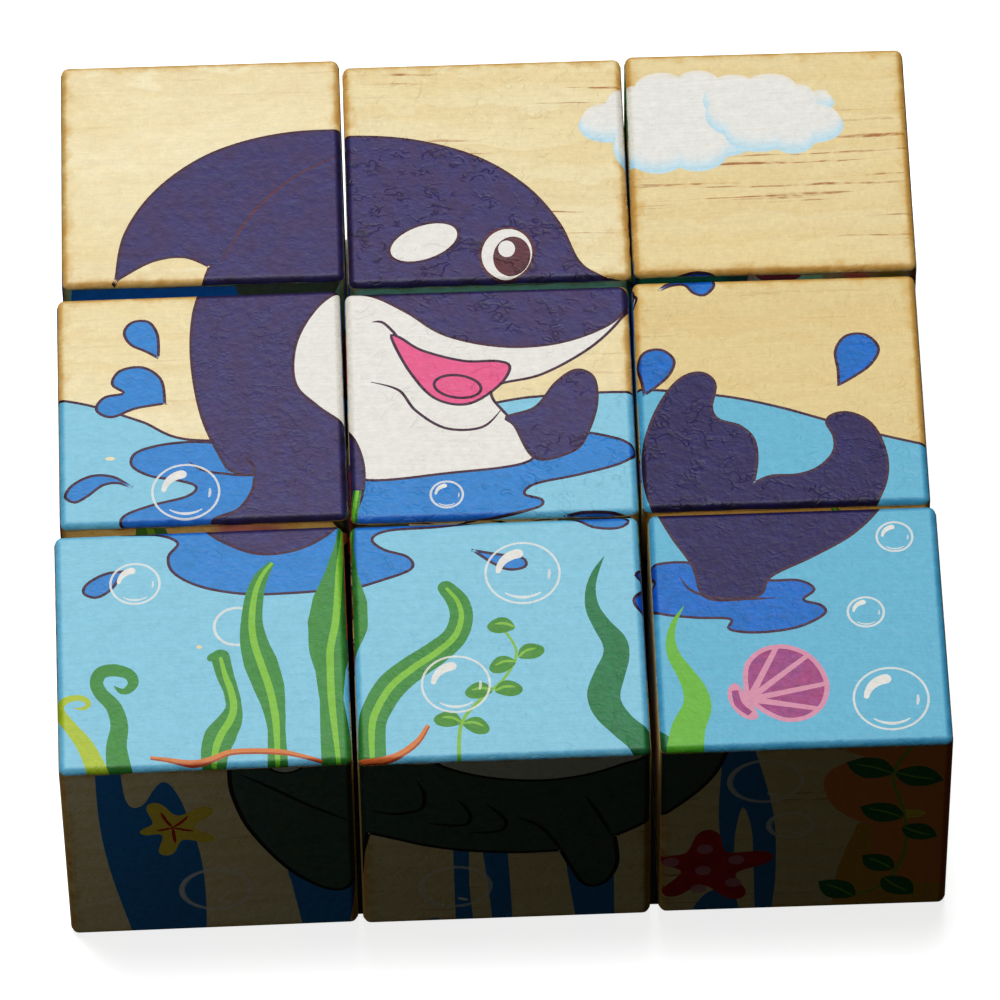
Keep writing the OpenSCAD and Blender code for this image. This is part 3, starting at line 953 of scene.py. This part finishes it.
def branch_coral(x, y, size, colour):
    """Coral of rounded branches that fork from one foot."""
    widths = np.array([0.2, 0.16, 0.12]) * size
    layers = area(ribbon([(x, y), (x + 0.1 * size, y + 0.5 * size), (x, y + size)], widths), colour)
    for lean, low, top in ((-0.45, 0.2, 0.85), (0.45, 0.3, 0.9), (-0.25, 0.55, 1.05), (0.3, 0.6, 1.1)):
        foot, tip = (x + 0.05 * size, y + low * size), (x + lean * size, y + top * size)
        elbow = (x + lean * 0.85 * size, y + (low + 0.2) * size)
        layers += area(ribbon([foot, elbow, tip], np.array([0.14, 0.13, 0.1]) * size), colour)
        layers += area(oval(*tip, 0.075 * size), colour)
    return layers


# %% [markdown]
# ## The hidden pictures, laid out
# With the creatures at hand, each picture is a backdrop, a sea floor, some weed or coral, and the creatures
# put where they leave room for one another.

# %% Pictures of the hidden faces
def sea_floor(line, colour="sand"):
    """Sand below a wavy line, with scattered grains."""
    layers = area(below(line), colour)
    for k in range(24):
        layers += area(oval(4.5 * k - 1, 2 + 2.6 * ((k * 5) % 3), 0.5 + 0.1 * (k % 3), 0.3), "ochre")
    return layers


def turtle_picture():
    """Blue water with light bands, coral and weed, and the turtle in the middle."""
    layers = area(below([(-1, 106), (106, 106)]), "sea")
    layers += area(below([(-1, 40), (30, 44), (70, 38), (106, 43)]), "sea_right")
    layers += sea_floor([(-1, 13), (20, 11), (45, 14), (75, 10), (106, 13)])
    for x in (14, 40, 78):
        layers += area(even(np.array([(x, 106), (x + 9, 106), (x + 1, 60), (x - 5, 60)], float), True),
                       "haze", 0.35)
    layers += branch_coral(13, 9, 22, "coral") + branch_coral(90, 9, 26, "violet")
    layers += rocks([(30, 9, 8, 6), (72, 8, 6, 5)])
    for foot, lean in ((46, -3), (52, 2), (57, 5)):
        layers += kelp([(foot, 9), (foot + lean, 18), (foot - lean, 26), (foot + lean, 34)],
                       [3.4, 3.2, 2.6, 0.3])
    layers += kelp([(100, 10), (98, 24), (102, 38), (98, 52)], [4, 4, 3, 0.3], "bottle", None)
    layers += moved(turtle(), 52, 62, 1.15, 8) + moved(fish("yellow", "blue"), 18, 84, 0.7, 0)
    layers += moved(fish("orange", "white"), 90, 80, 0.6, 0, -1)
    layers += area(star(62, 7.5, 4.6, 10), "red") + scallop(24, 5, 5, 60)
    for x, y, r in ((84, 64, 2.6), (88, 69, 1.7), (30, 92, 3.4), (12, 50, 2.2), (70, 94, 2.4)):
        layers += bubble(x, y, r)
    return layers


def octopus_picture():
    """Deep water on bare wood, rocks, chest-high weed and the octopus."""
    layers = area(below([(-1, 86), (18, 90), (40, 84), (64, 90), (86, 85), (106, 89)]), "sea_right")
    layers += area(below([(-1, 34), (26, 38), (60, 32), (106, 37)]), "blue", 0.55)
    layers += sea_floor([(-1, 10), (30, 12), (60, 9), (106, 12)])
    layers += rocks([(8, 8, 9, 12), (22, 7, 7, 7), (96, 8, 10, 15), (80, 7, 6, 6)])
    layers += moved(octopus(), 52, 48, 1.1)
    layers += kelp([(14, 9), (11, 22), (16, 34), (12, 46)], [4, 4.4, 3, 0.3])
    layers += kelp([(90, 9), (94, 24), (88, 40), (92, 54)], [5, 4.6, 3, 0.3])
    layers += moved(fish("turtle", "yellow"), 18, 72, 0.62)
    layers += moved(fish("lilac", "violet"), 88, 74, 0.62, 0, -1)
    layers += area(star(36, 6, 4.2, -8), "orange") + scallop(66, 4.6, 4.6, 84)
    for x, y, r in ((74, 60, 2.6), (78, 66, 1.7), (28, 60, 2.2), (52, 95, 2.8), (30, 82, 1.8)):
        layers += bubble(x, y, r)
    return layers


def crab_picture():
    """A beach: sea behind, sand in front, a palm leaf, shells and the crab."""
    layers = area(below([(-1, 72), (30, 73), (70, 71), (106, 73)]), "wave")
    layers += area(below([(-1, 60), (30, 64), (60, 58), (106, 62)]), "sea")
    layers += sea_floor([(-1, 52), (24, 56), (56, 50), (84, 55), (106, 51)])
    layers += cloud([(20, 90, 8, 4), (27, 93, 7, 5), (34, 90, 8, 4)])
    layers += lined(oval(84, 91, 7.5), "yellow") + moved(crab(), 52, 34, 1.3)
    for aim in (200, 226, 252, 280):
        ahead = np.array((np.cos(degrees(aim)), np.sin(degrees(aim))))
        foot = np.array((104, 104))
        layers += area(ribbon([foot, foot + 12 * ahead + (0, 2), foot + 24 * ahead - (0, 3)], [2, 5, 0.3]),
                       "kelp")
    layers += scallop(16, 14, 8, 80) + area(star(88, 14, 7, 12), "orange")
    layers += area(star(18, 42, 4, 0), "yellow")
    return layers + rocks([(98, 40, 7, 6), (6, 30, 5, 4)], "lilac")


def fish_picture():
    """Reef fish in blue water above coral."""
    layers = area(below([(-1, 94), (16, 97), (34, 92), (52, 97), (71, 93), (88, 97), (106, 93)]), "blue",
                  0.85)
    layers += sea_floor([(-1, 9), (40, 11), (70, 8), (106, 11)])
    layers += branch_coral(14, 7, 30, "coral") + branch_coral(88, 7, 34, "rose")
    layers += branch_coral(50, 6, 18, "violet")
    layers += kelp([(34, 8), (30, 22), (36, 34), (31, 48)], [4, 4.4, 3, 0.3])
    layers += kelp([(70, 8), (73, 20), (68, 32), (72, 44)], [4, 4, 3, 0.3], "grass", None)
    for x, y, size, flip, body, stripe in ((30, 76, 1.2, 1, "yellow", "navy"),
                                           (74, 66, 1.3, -1, "orange", "white"),
                                           (50, 46, 0.9, 1, "violet", "yellow"),
                                           (18, 50, 0.7, 1, "red", "white"),
                                           (92, 86, 0.7, -1, "turtle", "teal"),
                                           (60, 88, 0.6, 1, "coral", "blush")):
        layers += moved(fish(body, stripe), x, y, size, 0, flip)
    for x, y, r in ((44, 80, 2.4), (47, 86, 1.6), (56, 70, 2.8), (10, 68, 2.2), (96, 60, 2.6), (60, 56, 1.8)):
        layers += bubble(x, y, r)
    return layers


PICTURES = {"top": whale_picture(), "bottom": octopus_picture(), "front": seal_picture(),
            "back": turtle_picture(), "left": crab_picture(), "right": fish_picture()}
for face, picture in PICTURES.items():
    print(face, "picture:", len(picture), "layers")


# %% [markdown]
# ## Cutting a picture into sheets
# A triangulation that keeps every outline as an edge lets each triangle lie in one ink only, so the drawing
# stays sharp at any distance. The middle of a triangle tells which inks cover it.

# %% Triangles and paint
BEND = EDGE_RADIUS * np.pi / 2
RIM = {face: BEND * np.array(shares) for face, shares in {"top": (0.80, 0.80, 0.80),
                                                          "bottom": (0.48, 0.48, 0.48),
                                                          "front": (0.69, 0.12, 0.44),
                                                          "back": (0.69, 0.12, 0.44),
                                                          "left": (0.21, 0.12, 0.44),
                                                          "right": (0.21, 0.12, 0.44)}.items()}
REACH = FLAT + BEND
DENSE = FLAT + BEND * np.array([0, 0.14, 0.28, 0.42, 0.56, 0.7, 0.8])


def rim_outline(reach, rng):
    """Edge of a sheet: it goes past the flat by three lengths, sideways, up and down, which quarter ellipses
    join. Slow waves of a few hundredths of a millimetre make the cut a little uneven."""
    sideways, up, down = reach
    angle = degrees(np.arange(0, 360, 90)[:, None] + np.linspace(0, 90, 7))
    right, above = np.array([(1, -1, -1, 1), (1, 1, -1, -1)])[:, :, None]
    x = right * FLAT + sideways * np.cos(angle)
    y = above * FLAT + np.where(above > 0, up, down) * np.sin(angle)
    ring = even(np.stack([x.ravel(), y.ravel()], axis=1), True)
    share = np.linspace(0, 2 * np.pi, len(ring), endpoint=False)
    waves = sum(rng.normal(0, 0.018) * np.sin(k * share + rng.uniform(0, 6.3)) for k in range(3, 30))
    return ring + normals_of(ring, True) * waves[:, None] * -0.5


def rim_share(flat, reach):
    """How far out a point lies: 0 on the flat and 1 at the rim, measured on the rim's quarter ellipses."""
    sideways, up, down = reach
    beyond = np.maximum(np.abs(flat) - FLAT, 0)
    return np.hypot(beyond[:, 0] / sideways, beyond[:, 1] / np.where(flat[:, 1] > 0, up, down))


def inside(points, rings):
    """Even-odd rule: a point is inside when a ray to its right crosses the rings an odd number of times."""
    hits = np.zeros(len(points), int)
    px, py = points[:, :1], points[:, 1:]
    for ring in rings:
        x0, y0 = ring.T
        x1, y1 = np.roll(ring, -1, 0).T
        spans = (y0 > py) != (y1 > py)
        with np.errstate(divide="ignore", invalid="ignore"):
            cross = x0 + (py - y0) / (y1 - y0) * (x1 - x0)
        hits += (spans & (cross > px)).sum(axis=1)
    return hits % 2 == 1


def near(layers):
    """The layers whose box touches the sheet."""
    kept = []
    for rings, ink, cover in layers:
        low, high = np.vstack(rings).min(axis=0), np.vstack(rings).max(axis=0)
        if (low < REACH).all() and (high > -REACH).all():
            kept.append((rings, ink, cover))
    return kept


def cut_sheet(layers, rim):
    """Constrained triangulation of the rim, the outlines and a few support rows for the bend at the edges."""
    rows = np.concatenate([-DENSE[::-1], np.linspace(-FLAT, FLAT, 12)[1:-1], DENSE])
    grid = np.stack(np.meshgrid(rows, rows, indexing="ij"), axis=-1).reshape(-1, 2)
    number = np.arange(len(grid)).reshape(len(rows), len(rows))
    bends = np.flatnonzero(np.abs(rows) >= FLAT)
    along = np.stack([number[bends, :-1], number[bends, 1:]], axis=-1).reshape(-1, 2)
    across = np.stack([number[:-1, bends], number[1:, bends]], axis=-1).reshape(-1, 2)
    points, edges, first = [grid], [along, across], len(grid)
    for ring in [rim] + [ring for rings, _, _ in layers for ring in rings]:
        close = (np.abs(ring) < REACH).all(axis=1)
        follow = np.roll(close, -1)
        ids = first + np.arange(len(ring))
        pairs = np.stack([ids, np.roll(ids, -1)], axis=1)[close | follow]
        points.append(ring)
        edges.append(pairs)
        first += len(ring)
    points, edges = np.vstack(points), np.vstack(edges)
    used = np.unique(np.concatenate([np.arange(len(grid)), edges.ravel()]))
    renumber = np.zeros(len(points), int)
    renumber[used] = np.arange(len(used))
    flat, _, triangles, *_ = delaunay_2d_cdt([Vector(p) for p in points[used].tolist()],
                                             renumber[edges].tolist(), [], 0, 1e-4)
    flat, triangles = np.array([tuple(p) for p in flat]), np.array(triangles)
    triangles = triangles[inside(flat[triangles].mean(axis=1), [rim])]
    used = np.unique(triangles)
    renumber = np.zeros(len(flat), int)
    renumber[used] = np.arange(len(used))
    return flat[used], renumber[triangles]


def paint(middles, layers):
    """Colour and cover at each point, the layers laid over one another in order."""
    ink = np.zeros((len(middles), 4))
    for rings, name, cover in layers:
        low, high = np.vstack(rings).min(axis=0), np.vstack(rings).max(axis=0)
        close = np.flatnonzero(((middles >= low) & (middles <= high)).all(axis=1))
        covered = inside(middles[close], rings)
        if cover < 0:
            covered, cover = np.any([inside(middles[close], [ring]) for ring in rings], axis=0), -cover
        hit = close[covered]
        alpha = ink[hit, 3:]
        if name == "bare":
            ink[hit, 3] = 0
            continue
        total = cover + alpha * (1 - cover)
        ink[hit, :3] = (to_linear(INKS[name]) * cover + ink[hit, :3] * alpha * (1 - cover)) / total
        ink[hit, 3:] = total
    return ink


# %% [markdown]
# ## Pressing a sheet over the cube
# A sheet follows the same rule as the wood, with arc length in place of a straight line: the part beyond the
# flat is rolled round the edge, so a point s beyond it sits at the angle s / radius. The sheet is thinnest at
# its rim. Its inner skin lies just inside the wood, and a wall along the rim closes it.

# %% Film sheets
RIM_FILM = 0.045
IN_WOOD = 0.03


def wrap(flat, lift):
    """Points and normals of a sheet: c + R * (sin a * e/|e|), height FLAT + R * cos a, with
    R = radius + lift, e = what lies beyond the flat, and a = |e| / radius."""
    c = np.clip(flat, -FLAT, FLAT)
    e = flat - c
    s = np.linalg.norm(e, axis=1, keepdims=True)
    way = e / np.maximum(s, 1e-9)
    angle = s / EDGE_RADIUS
    normal = np.hstack([np.sin(angle) * way, np.cos(angle)])
    radius = EDGE_RADIUS + lift[:, None]
    return np.hstack([c, np.full_like(s, FLAT)]) + radius * normal, normal


def rim_edges(triangles):
    """Edges that belong to one triangle only, in that triangle's direction."""
    pairs = np.concatenate([triangles[:, [0, 1]], triangles[:, [1, 2]], triangles[:, [2, 0]]])
    keys = np.sort(pairs, axis=1)
    _, first, count = np.unique(keys, axis=0, return_index=True, return_counts=True)
    return pairs[first[count == 1]]


def film_sheet(face, picture, column, row, rng):
    """One sheet: (points, triangles, normals, ink per triangle) in the cube's own millimetres."""
    middle = (np.array([column, row]) + 0.5) * SIDE / 3 + rng.uniform(-0.12, 0.12, 2)
    layers = near([([ring - middle for ring in rings], ink, cover) for rings, ink, cover in picture])
    rim = rim_outline(RIM[face], rng)
    flat, triangles = cut_sheet(layers, rim)
    ink = paint(flat[triangles].mean(axis=1), layers)
    edge = rim_edges(triangles)
    depth = np.clip(2.5 - 2.5 * rim_share(flat, RIM[face]), 0, 1)
    outer, normal = wrap(flat, RIM_FILM + (FILM - RIM_FILM) * depth * (2 - depth))
    inner, _ = wrap(flat, np.full(len(flat), -IN_WOOD))
    axes = face_axes(face)
    count = len(flat)
    wall = np.concatenate([edge[:, [1, 0]], edge[:, [0]] + count], axis=1)
    wall_too = np.stack([edge[:, 1], edge[:, 0] + count, edge[:, 1] + count], axis=1)
    faces = np.concatenate([triangles, triangles[:, ::-1] + count, wall, wall_too])
    bare = np.zeros((len(faces) - len(triangles), 4))
    return np.vstack([outer, inner]) @ axes, faces, np.vstack([normal, -normal]) @ axes, np.vstack([ink,
                                                                                                    bare])


def put_film(name, place, sheets):
    """One piece from one or two sheets, with the ink kept per corner in the attribute 'ink'."""
    starts = np.cumsum([0] + [len(points) for points, _, _, _ in sheets])
    faces = np.vstack([faces + start for (_, faces, _, _), start in zip(sheets, starts)])
    points = np.vstack([sheet[0] for sheet in sheets])
    normals = np.vstack([sheet[2] for sheet in sheets])
    ink = np.repeat(np.vstack([sheet[3] for sheet in sheets]), 3, axis=0)
    piece = put_mesh(name, place, points, faces, normals)
    piece.data.color_attributes.new("ink", "FLOAT_COLOR", "CORNER").data.foreach_set("color", ink.ravel())
    return piece


FILMS = {"top": (["top"], "whale_picture"), "bottom": (["bottom"], "octopus_picture"),
         "front": (["front"], "seal_picture"), "back": (["back"], "turtle_picture"),
         "side": (["left", "right"], "reef_pictures")}
film_pieces = []
for number, place in enumerate(PLACES):
    column, row = number % 3, 2 - number // 3
    for film, (faces, slot) in FILMS.items():
        rng = np.random.default_rng([number, len(film)])
        sheets = [film_sheet(face, PICTURES[face], column, row, rng) for face in faces]
        piece = put_film(f"{place}_{film}_film", place, sheets)
        node = f"{place}_{film}_prints" if film == "side" else f"{place}_{film}_print"
        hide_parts(node)
        film_pieces.append(piece)
print(len(film_pieces), "films,", sum(len(piece.data.polygons) for piece in film_pieces), "triangles")

# %% [markdown]
# ## Pine
# Pine shows growth rings, fine fibres and short brown resin lines, all along one direction. Its edges are
# golden, partly from sanding and handling and partly painted shade where the rounded edges turn from the light.
# An image of wood could be laid on each face, but it would break at the edges. Noise in three dimensions, drawn
# out along the fibres, is one block of wood that the cube is cut from. It reads the attribute 'own', so the
# grain runs through wood and film alike and turns with its cube.

# %% Pine
def pine_group():
    """Pale wood: rings about a far pith, fibres, brown lines in streaks, and a golden edge that is partly
    painted shade.
    """
    tree, given, out = group("pine_grain", {"Own": "Vector", "Cube": "Float", "Tan": "Float",
                                            "Streaks": "Float"}, {"Color": "Color", "Height": "Float",
                                                                  "Fibre": "Float"})
    x, y, z = split(tree, given["Own"])
    turning = calc(tree, "SINE", times(tree, given["Cube"], 1.9))
    lean = times(tree, x, times(tree, turning, 0.035))
    leant = put(tree, "CombineXYZ", [x, plus(tree, y, lean), z]).outputs[0]
    at = shift(tree, leant, cube_shift(tree, given["Cube"], 61.7, 23.9, 47.3))
    slow = stretch(tree, at, (0.035, 0.09, 0.09))
    sway = put(tree, "TexNoise", {"Vector": slow, "Detail": 1.0}).outputs["Color"]
    sway = stretch(tree, vector(tree, "SUBTRACT", sway, (0.5, 0.5, 0.5)), (0, 3.6, 3.6))
    bent = shift(tree, at, sway)
    little = shift(tree, at, stretch(tree, sway, (0, 0.10, 0.10)))
    aside = calc(tree, "SINE", times(tree, given["Cube"], 2.4))
    pith = put(tree, "CombineXYZ", [0.0, aside, 0.9]).outputs[0]
    from_pith = shift(tree, shift(tree, leant, sway), stretch(tree, pith, (70, 70, 70)))
    radius = vector(tree, "LENGTH", stretch(tree, from_pith, (0, 1, 1)))
    ring = calc(tree, "FRACT", calc(tree, "DIVIDE", radius, 3.3))
    late = times(tree, step(tree, ring, 0.2, 0.9), step(tree, ring, 0.9, 1.0, 1.0, 0.0))
    fibre = noise(tree, stretch(tree, little, (0.09, 3.4, 3.4)), 1.0, 3.0, 0.62)
    dust = noise(tree, stretch(tree, at, (1.3, 3.0, 3.0)), 1.0, 2.0, 0.7)
    flecks = noise(tree, stretch(tree, at, (2.6, 0.8, 0.8)), 1.0, 1.0)
    cloudy = noise(tree, stretch(tree, bent, (0.03, 0.11, 0.11)), 1.0, 2.0)
    lines = noise(tree, stretch(tree, little, (0.045, 1.6, 1.6)), 1.0, 2.0, 0.5)
    dashes = noise(tree, stretch(tree, little, (0.55, 1.6, 1.6)), 1.0, 2.0)
    where = noise(tree, stretch(tree, little, (0.02, 0.14, 0.14)), 1.0, 1.0)
    resin = times(tree, step(tree, lines, 0.62, 0.71), step(tree, where, 0.37, 0.50))
    resin = times(tree, resin, step(tree, dashes, 0.36, 0.60, 0.15, 1.0))
    resin = times(tree, resin, given["Streaks"])
    second = towards_edge(tree, given["Own"])
    blotch = noise(tree, at, 0.45, 3.0, 0.6)
    rough_edge = plus(tree, second, times(tree, minus(tree, blotch, 0.5), 4.0))
    # Golden edge: partly the wood's own sanded colour, partly painted shade where the rounded edges turn from
    # the light.
    edge = step(tree, rough_edge, 15.7, 17.4)
    colour = blend(tree, given["Tan"], ink((246, 233, 192)), ink((226, 202, 140)))
    colour = blend(tree, times(tree, late, 0.26), colour, ink((222, 184, 112)))
    colour = blend(tree, step(tree, cloudy, 0.35, 0.75, 0.0, 0.45), colour, ink((236, 212, 150)))
    spots = noise(tree, at, 1.0, 3.0, 0.7)
    tone = 0.71
    for texture, share in ((fibre, 0.16), (dust, 0.20), (spots, 0.22), (step(tree, flecks, 0.55, 0.75),
                                                                        0.05)):
        tone = plus(tree, tone, times(tree, texture, share))
    colour = toned(tree, colour, tone)
    colour = blend(tree, resin, colour, ink((166, 96, 36)))
    colour = blend(tree, times(tree, edge, 0.6), colour, ink((208, 162, 66)))
    grain = times(tree, plus(tree, fibre, dust), 0.4)
    height = minus(tree, grain, times(tree, resin, 0.5))
    for label, value in (("Color", colour), ("Height", height), ("Fibre", fibre)):
        tree.links.new(value, out.inputs[label])
    return tree


PINE = pine_group()
print("pine grain of", len(PINE.nodes), "nodes")

# %% [markdown]
# ## Printed film
# Ink lies on the film, and the film lies on the wood. Where there is no ink the wood shows through. Dark inks
# show what pale ones hide: fibres under the film, fine creases where it didn't stretch evenly, with painted
# shade along them, and a change of hue from spot to spot. A band of painted shade darkens and deepens the ink
# where the film starts to round over an edge.

# %% Ink on film
def print_group():
    """Ink over wood: cover from the print, fibres through the ink, creases with painted shade and drift of hue
    in dark inks, and painted shade at the edges.
    """
    tree, given, out = group("printed_film", {"Own": "Vector", "Cube": "Float", "Creases": "Float",
                                              "Ink": "Color", "Cover": "Float", "Wood": "Color",
                                              "Fibre": "Float"}, {"Color": "Color", "Roughness": "Float",
                                                                  "Height": "Float"})
    at = shift(tree, given["Own"], cube_shift(tree, given["Cube"], 13.1, 7.7, 5.3))
    light = put(tree, "RGBToBW", [given["Ink"]]).outputs[0]
    dark = step(tree, light, 0.08, 0.30, 1.0, 0.0)
    drift = noise(tree, at, 0.42, 3.0, 0.6)
    hue = blend(tree, step(tree, drift, 0.38, 0.62), ink((186, 206, 255)), ink((255, 206, 206)))
    drifted = blend(tree, 1.0, given["Ink"], hue, "MULTIPLY")
    colour = blend(tree, times(tree, dark, 0.4), given["Ink"], drifted)
    weave = noise(tree, stretch(tree, at, (1.6, 3.4, 3.4)), 1.0, 2.0, 0.7)
    mottle = noise(tree, at, 0.9, 3.0, 0.65)
    amount = plus(tree, times(tree, dark, 0.55), 0.22)
    tone = plus(tree, minus(tree, weave, 0.5), minus(tree, mottle, 0.5))
    tone = times(tree, tone, amount)
    tone = plus(tree, tone, times(tree, minus(tree, given["Fibre"], 0.5), 0.20))
    warp = put(tree, "TexNoise", {"Vector": at, "Scale": 0.5, "Detail": 1.0}).outputs["Color"]
    warp = shift(tree, at, stretch(tree, warp, (4, 4, 4)))
    level = noise(tree, stretch(tree, warp, (0.28, 0.5, 0.5)), 1.0, 1.0)
    fold = step(tree, calc(tree, "ABSOLUTE", minus(tree, level, 0.5)), 0.0, 0.075, 1.0, 0.0)
    fold = times(tree, fold, step(tree, noise(tree, at, 0.35, 2.0), 0.46, 0.60))
    fold = times(tree, fold, given["Creases"])
    # Painted shade: the crease lines darken dark inks, standing for the shade in the creases; their relief is
    # the bump.
    painted_crease_shade = minus(tree, 1.0, times(tree, times(tree, fold, dark), 0.42))
    tone = times(tree, plus(tree, tone, 1.0), painted_crease_shade)
    colour = toned(tree, colour, tone)
    colour = blend(tree, given["Cover"], given["Wood"], colour)
    second = towards_edge(tree, given["Own"])
    # Painted shade: near each edge the ink is darkened and deepened, standing for the shade where the film
    # rounds over.
    painted_edge_shade = times(tree, step(tree, second, 16.45, 17.05), plus(tree, times(tree, drift, 0.8), 0.3))
    colour = blend(tree, painted_edge_shade, colour, blend(tree, 1.0, colour, colour, "MULTIPLY"))
    rough = plus(tree, 0.36, times(tree, drift, 0.2))
    height = plus(tree, times(tree, weave, 0.16), times(tree, mottle, 0.8))
    height = minus(tree, height, times(tree, fold, 0.6))
    for label, value in (("Color", colour), ("Roughness", rough), ("Height", height)):
        tree.links.new(value, out.inputs[label])
    return tree


PRINT = print_group()


def place_group(tree, used, inputs):
    """A node group placed in a material, its inputs linked by name."""
    made = put(tree, "Group", node_tree=used)
    for label, value in inputs.items():
        tree.links.new(value, made.inputs[label])
    return made.outputs


def read(tree, name):
    """Outputs of an attribute."""
    return put(tree, "Attribute", attribute_name=name).outputs


def finish_material(name, printed):
    """Pine alone, or pine under a printed film; both end in one Principled shader and one Bump."""
    made = bpy.data.materials.new(name)
    made.use_nodes = True
    tree = made.node_tree
    shader = tree.nodes["Principled BSDF"]
    own, cube = read(tree, "own")["Vector"], read(tree, "cube")["Fac"]
    wood = place_group(tree, PINE, {"Own": own, "Cube": cube, "Tan": read(tree, "tan")["Fac"],
                                    "Streaks": read(tree, "streaks")["Fac"]})
    if printed:
        mark = read(tree, "ink")
        film = place_group(tree, PRINT, {"Own": own, "Cube": cube, "Creases": read(tree, "creases")["Fac"],
                                         "Ink": mark["Color"], "Cover": mark["Alpha"], "Wood": wood["Color"],
                                         "Fibre": wood["Fibre"]})
        tree.links.new(film["Color"], shader.inputs["Base Color"])
        tree.links.new(film["Roughness"], shader.inputs["Roughness"])
        height, depth = film["Height"], 0.00018
    else:
        tree.links.new(wood["Color"], shader.inputs["Base Color"])
        shader.inputs["Roughness"].default_value = 0.62
        height, depth = wood["Height"], 0.00008
    shader.inputs["Specular IOR Level"].default_value = 0.22
    bump = put(tree, "Bump", {"Height": height, "Distance": depth, "Strength": 0.6})
    tree.links.new(bump.outputs["Normal"], shader.inputs["Normal"])
    return made


pine, film = finish_material("sanded_pine", False), finish_material("printed_film", True)
for piece in wood_pieces:
    piece.data.materials.append(pine)
for piece in film_pieces:
    piece.data.materials.append(film)
print("materials:", pine.name, film.name)
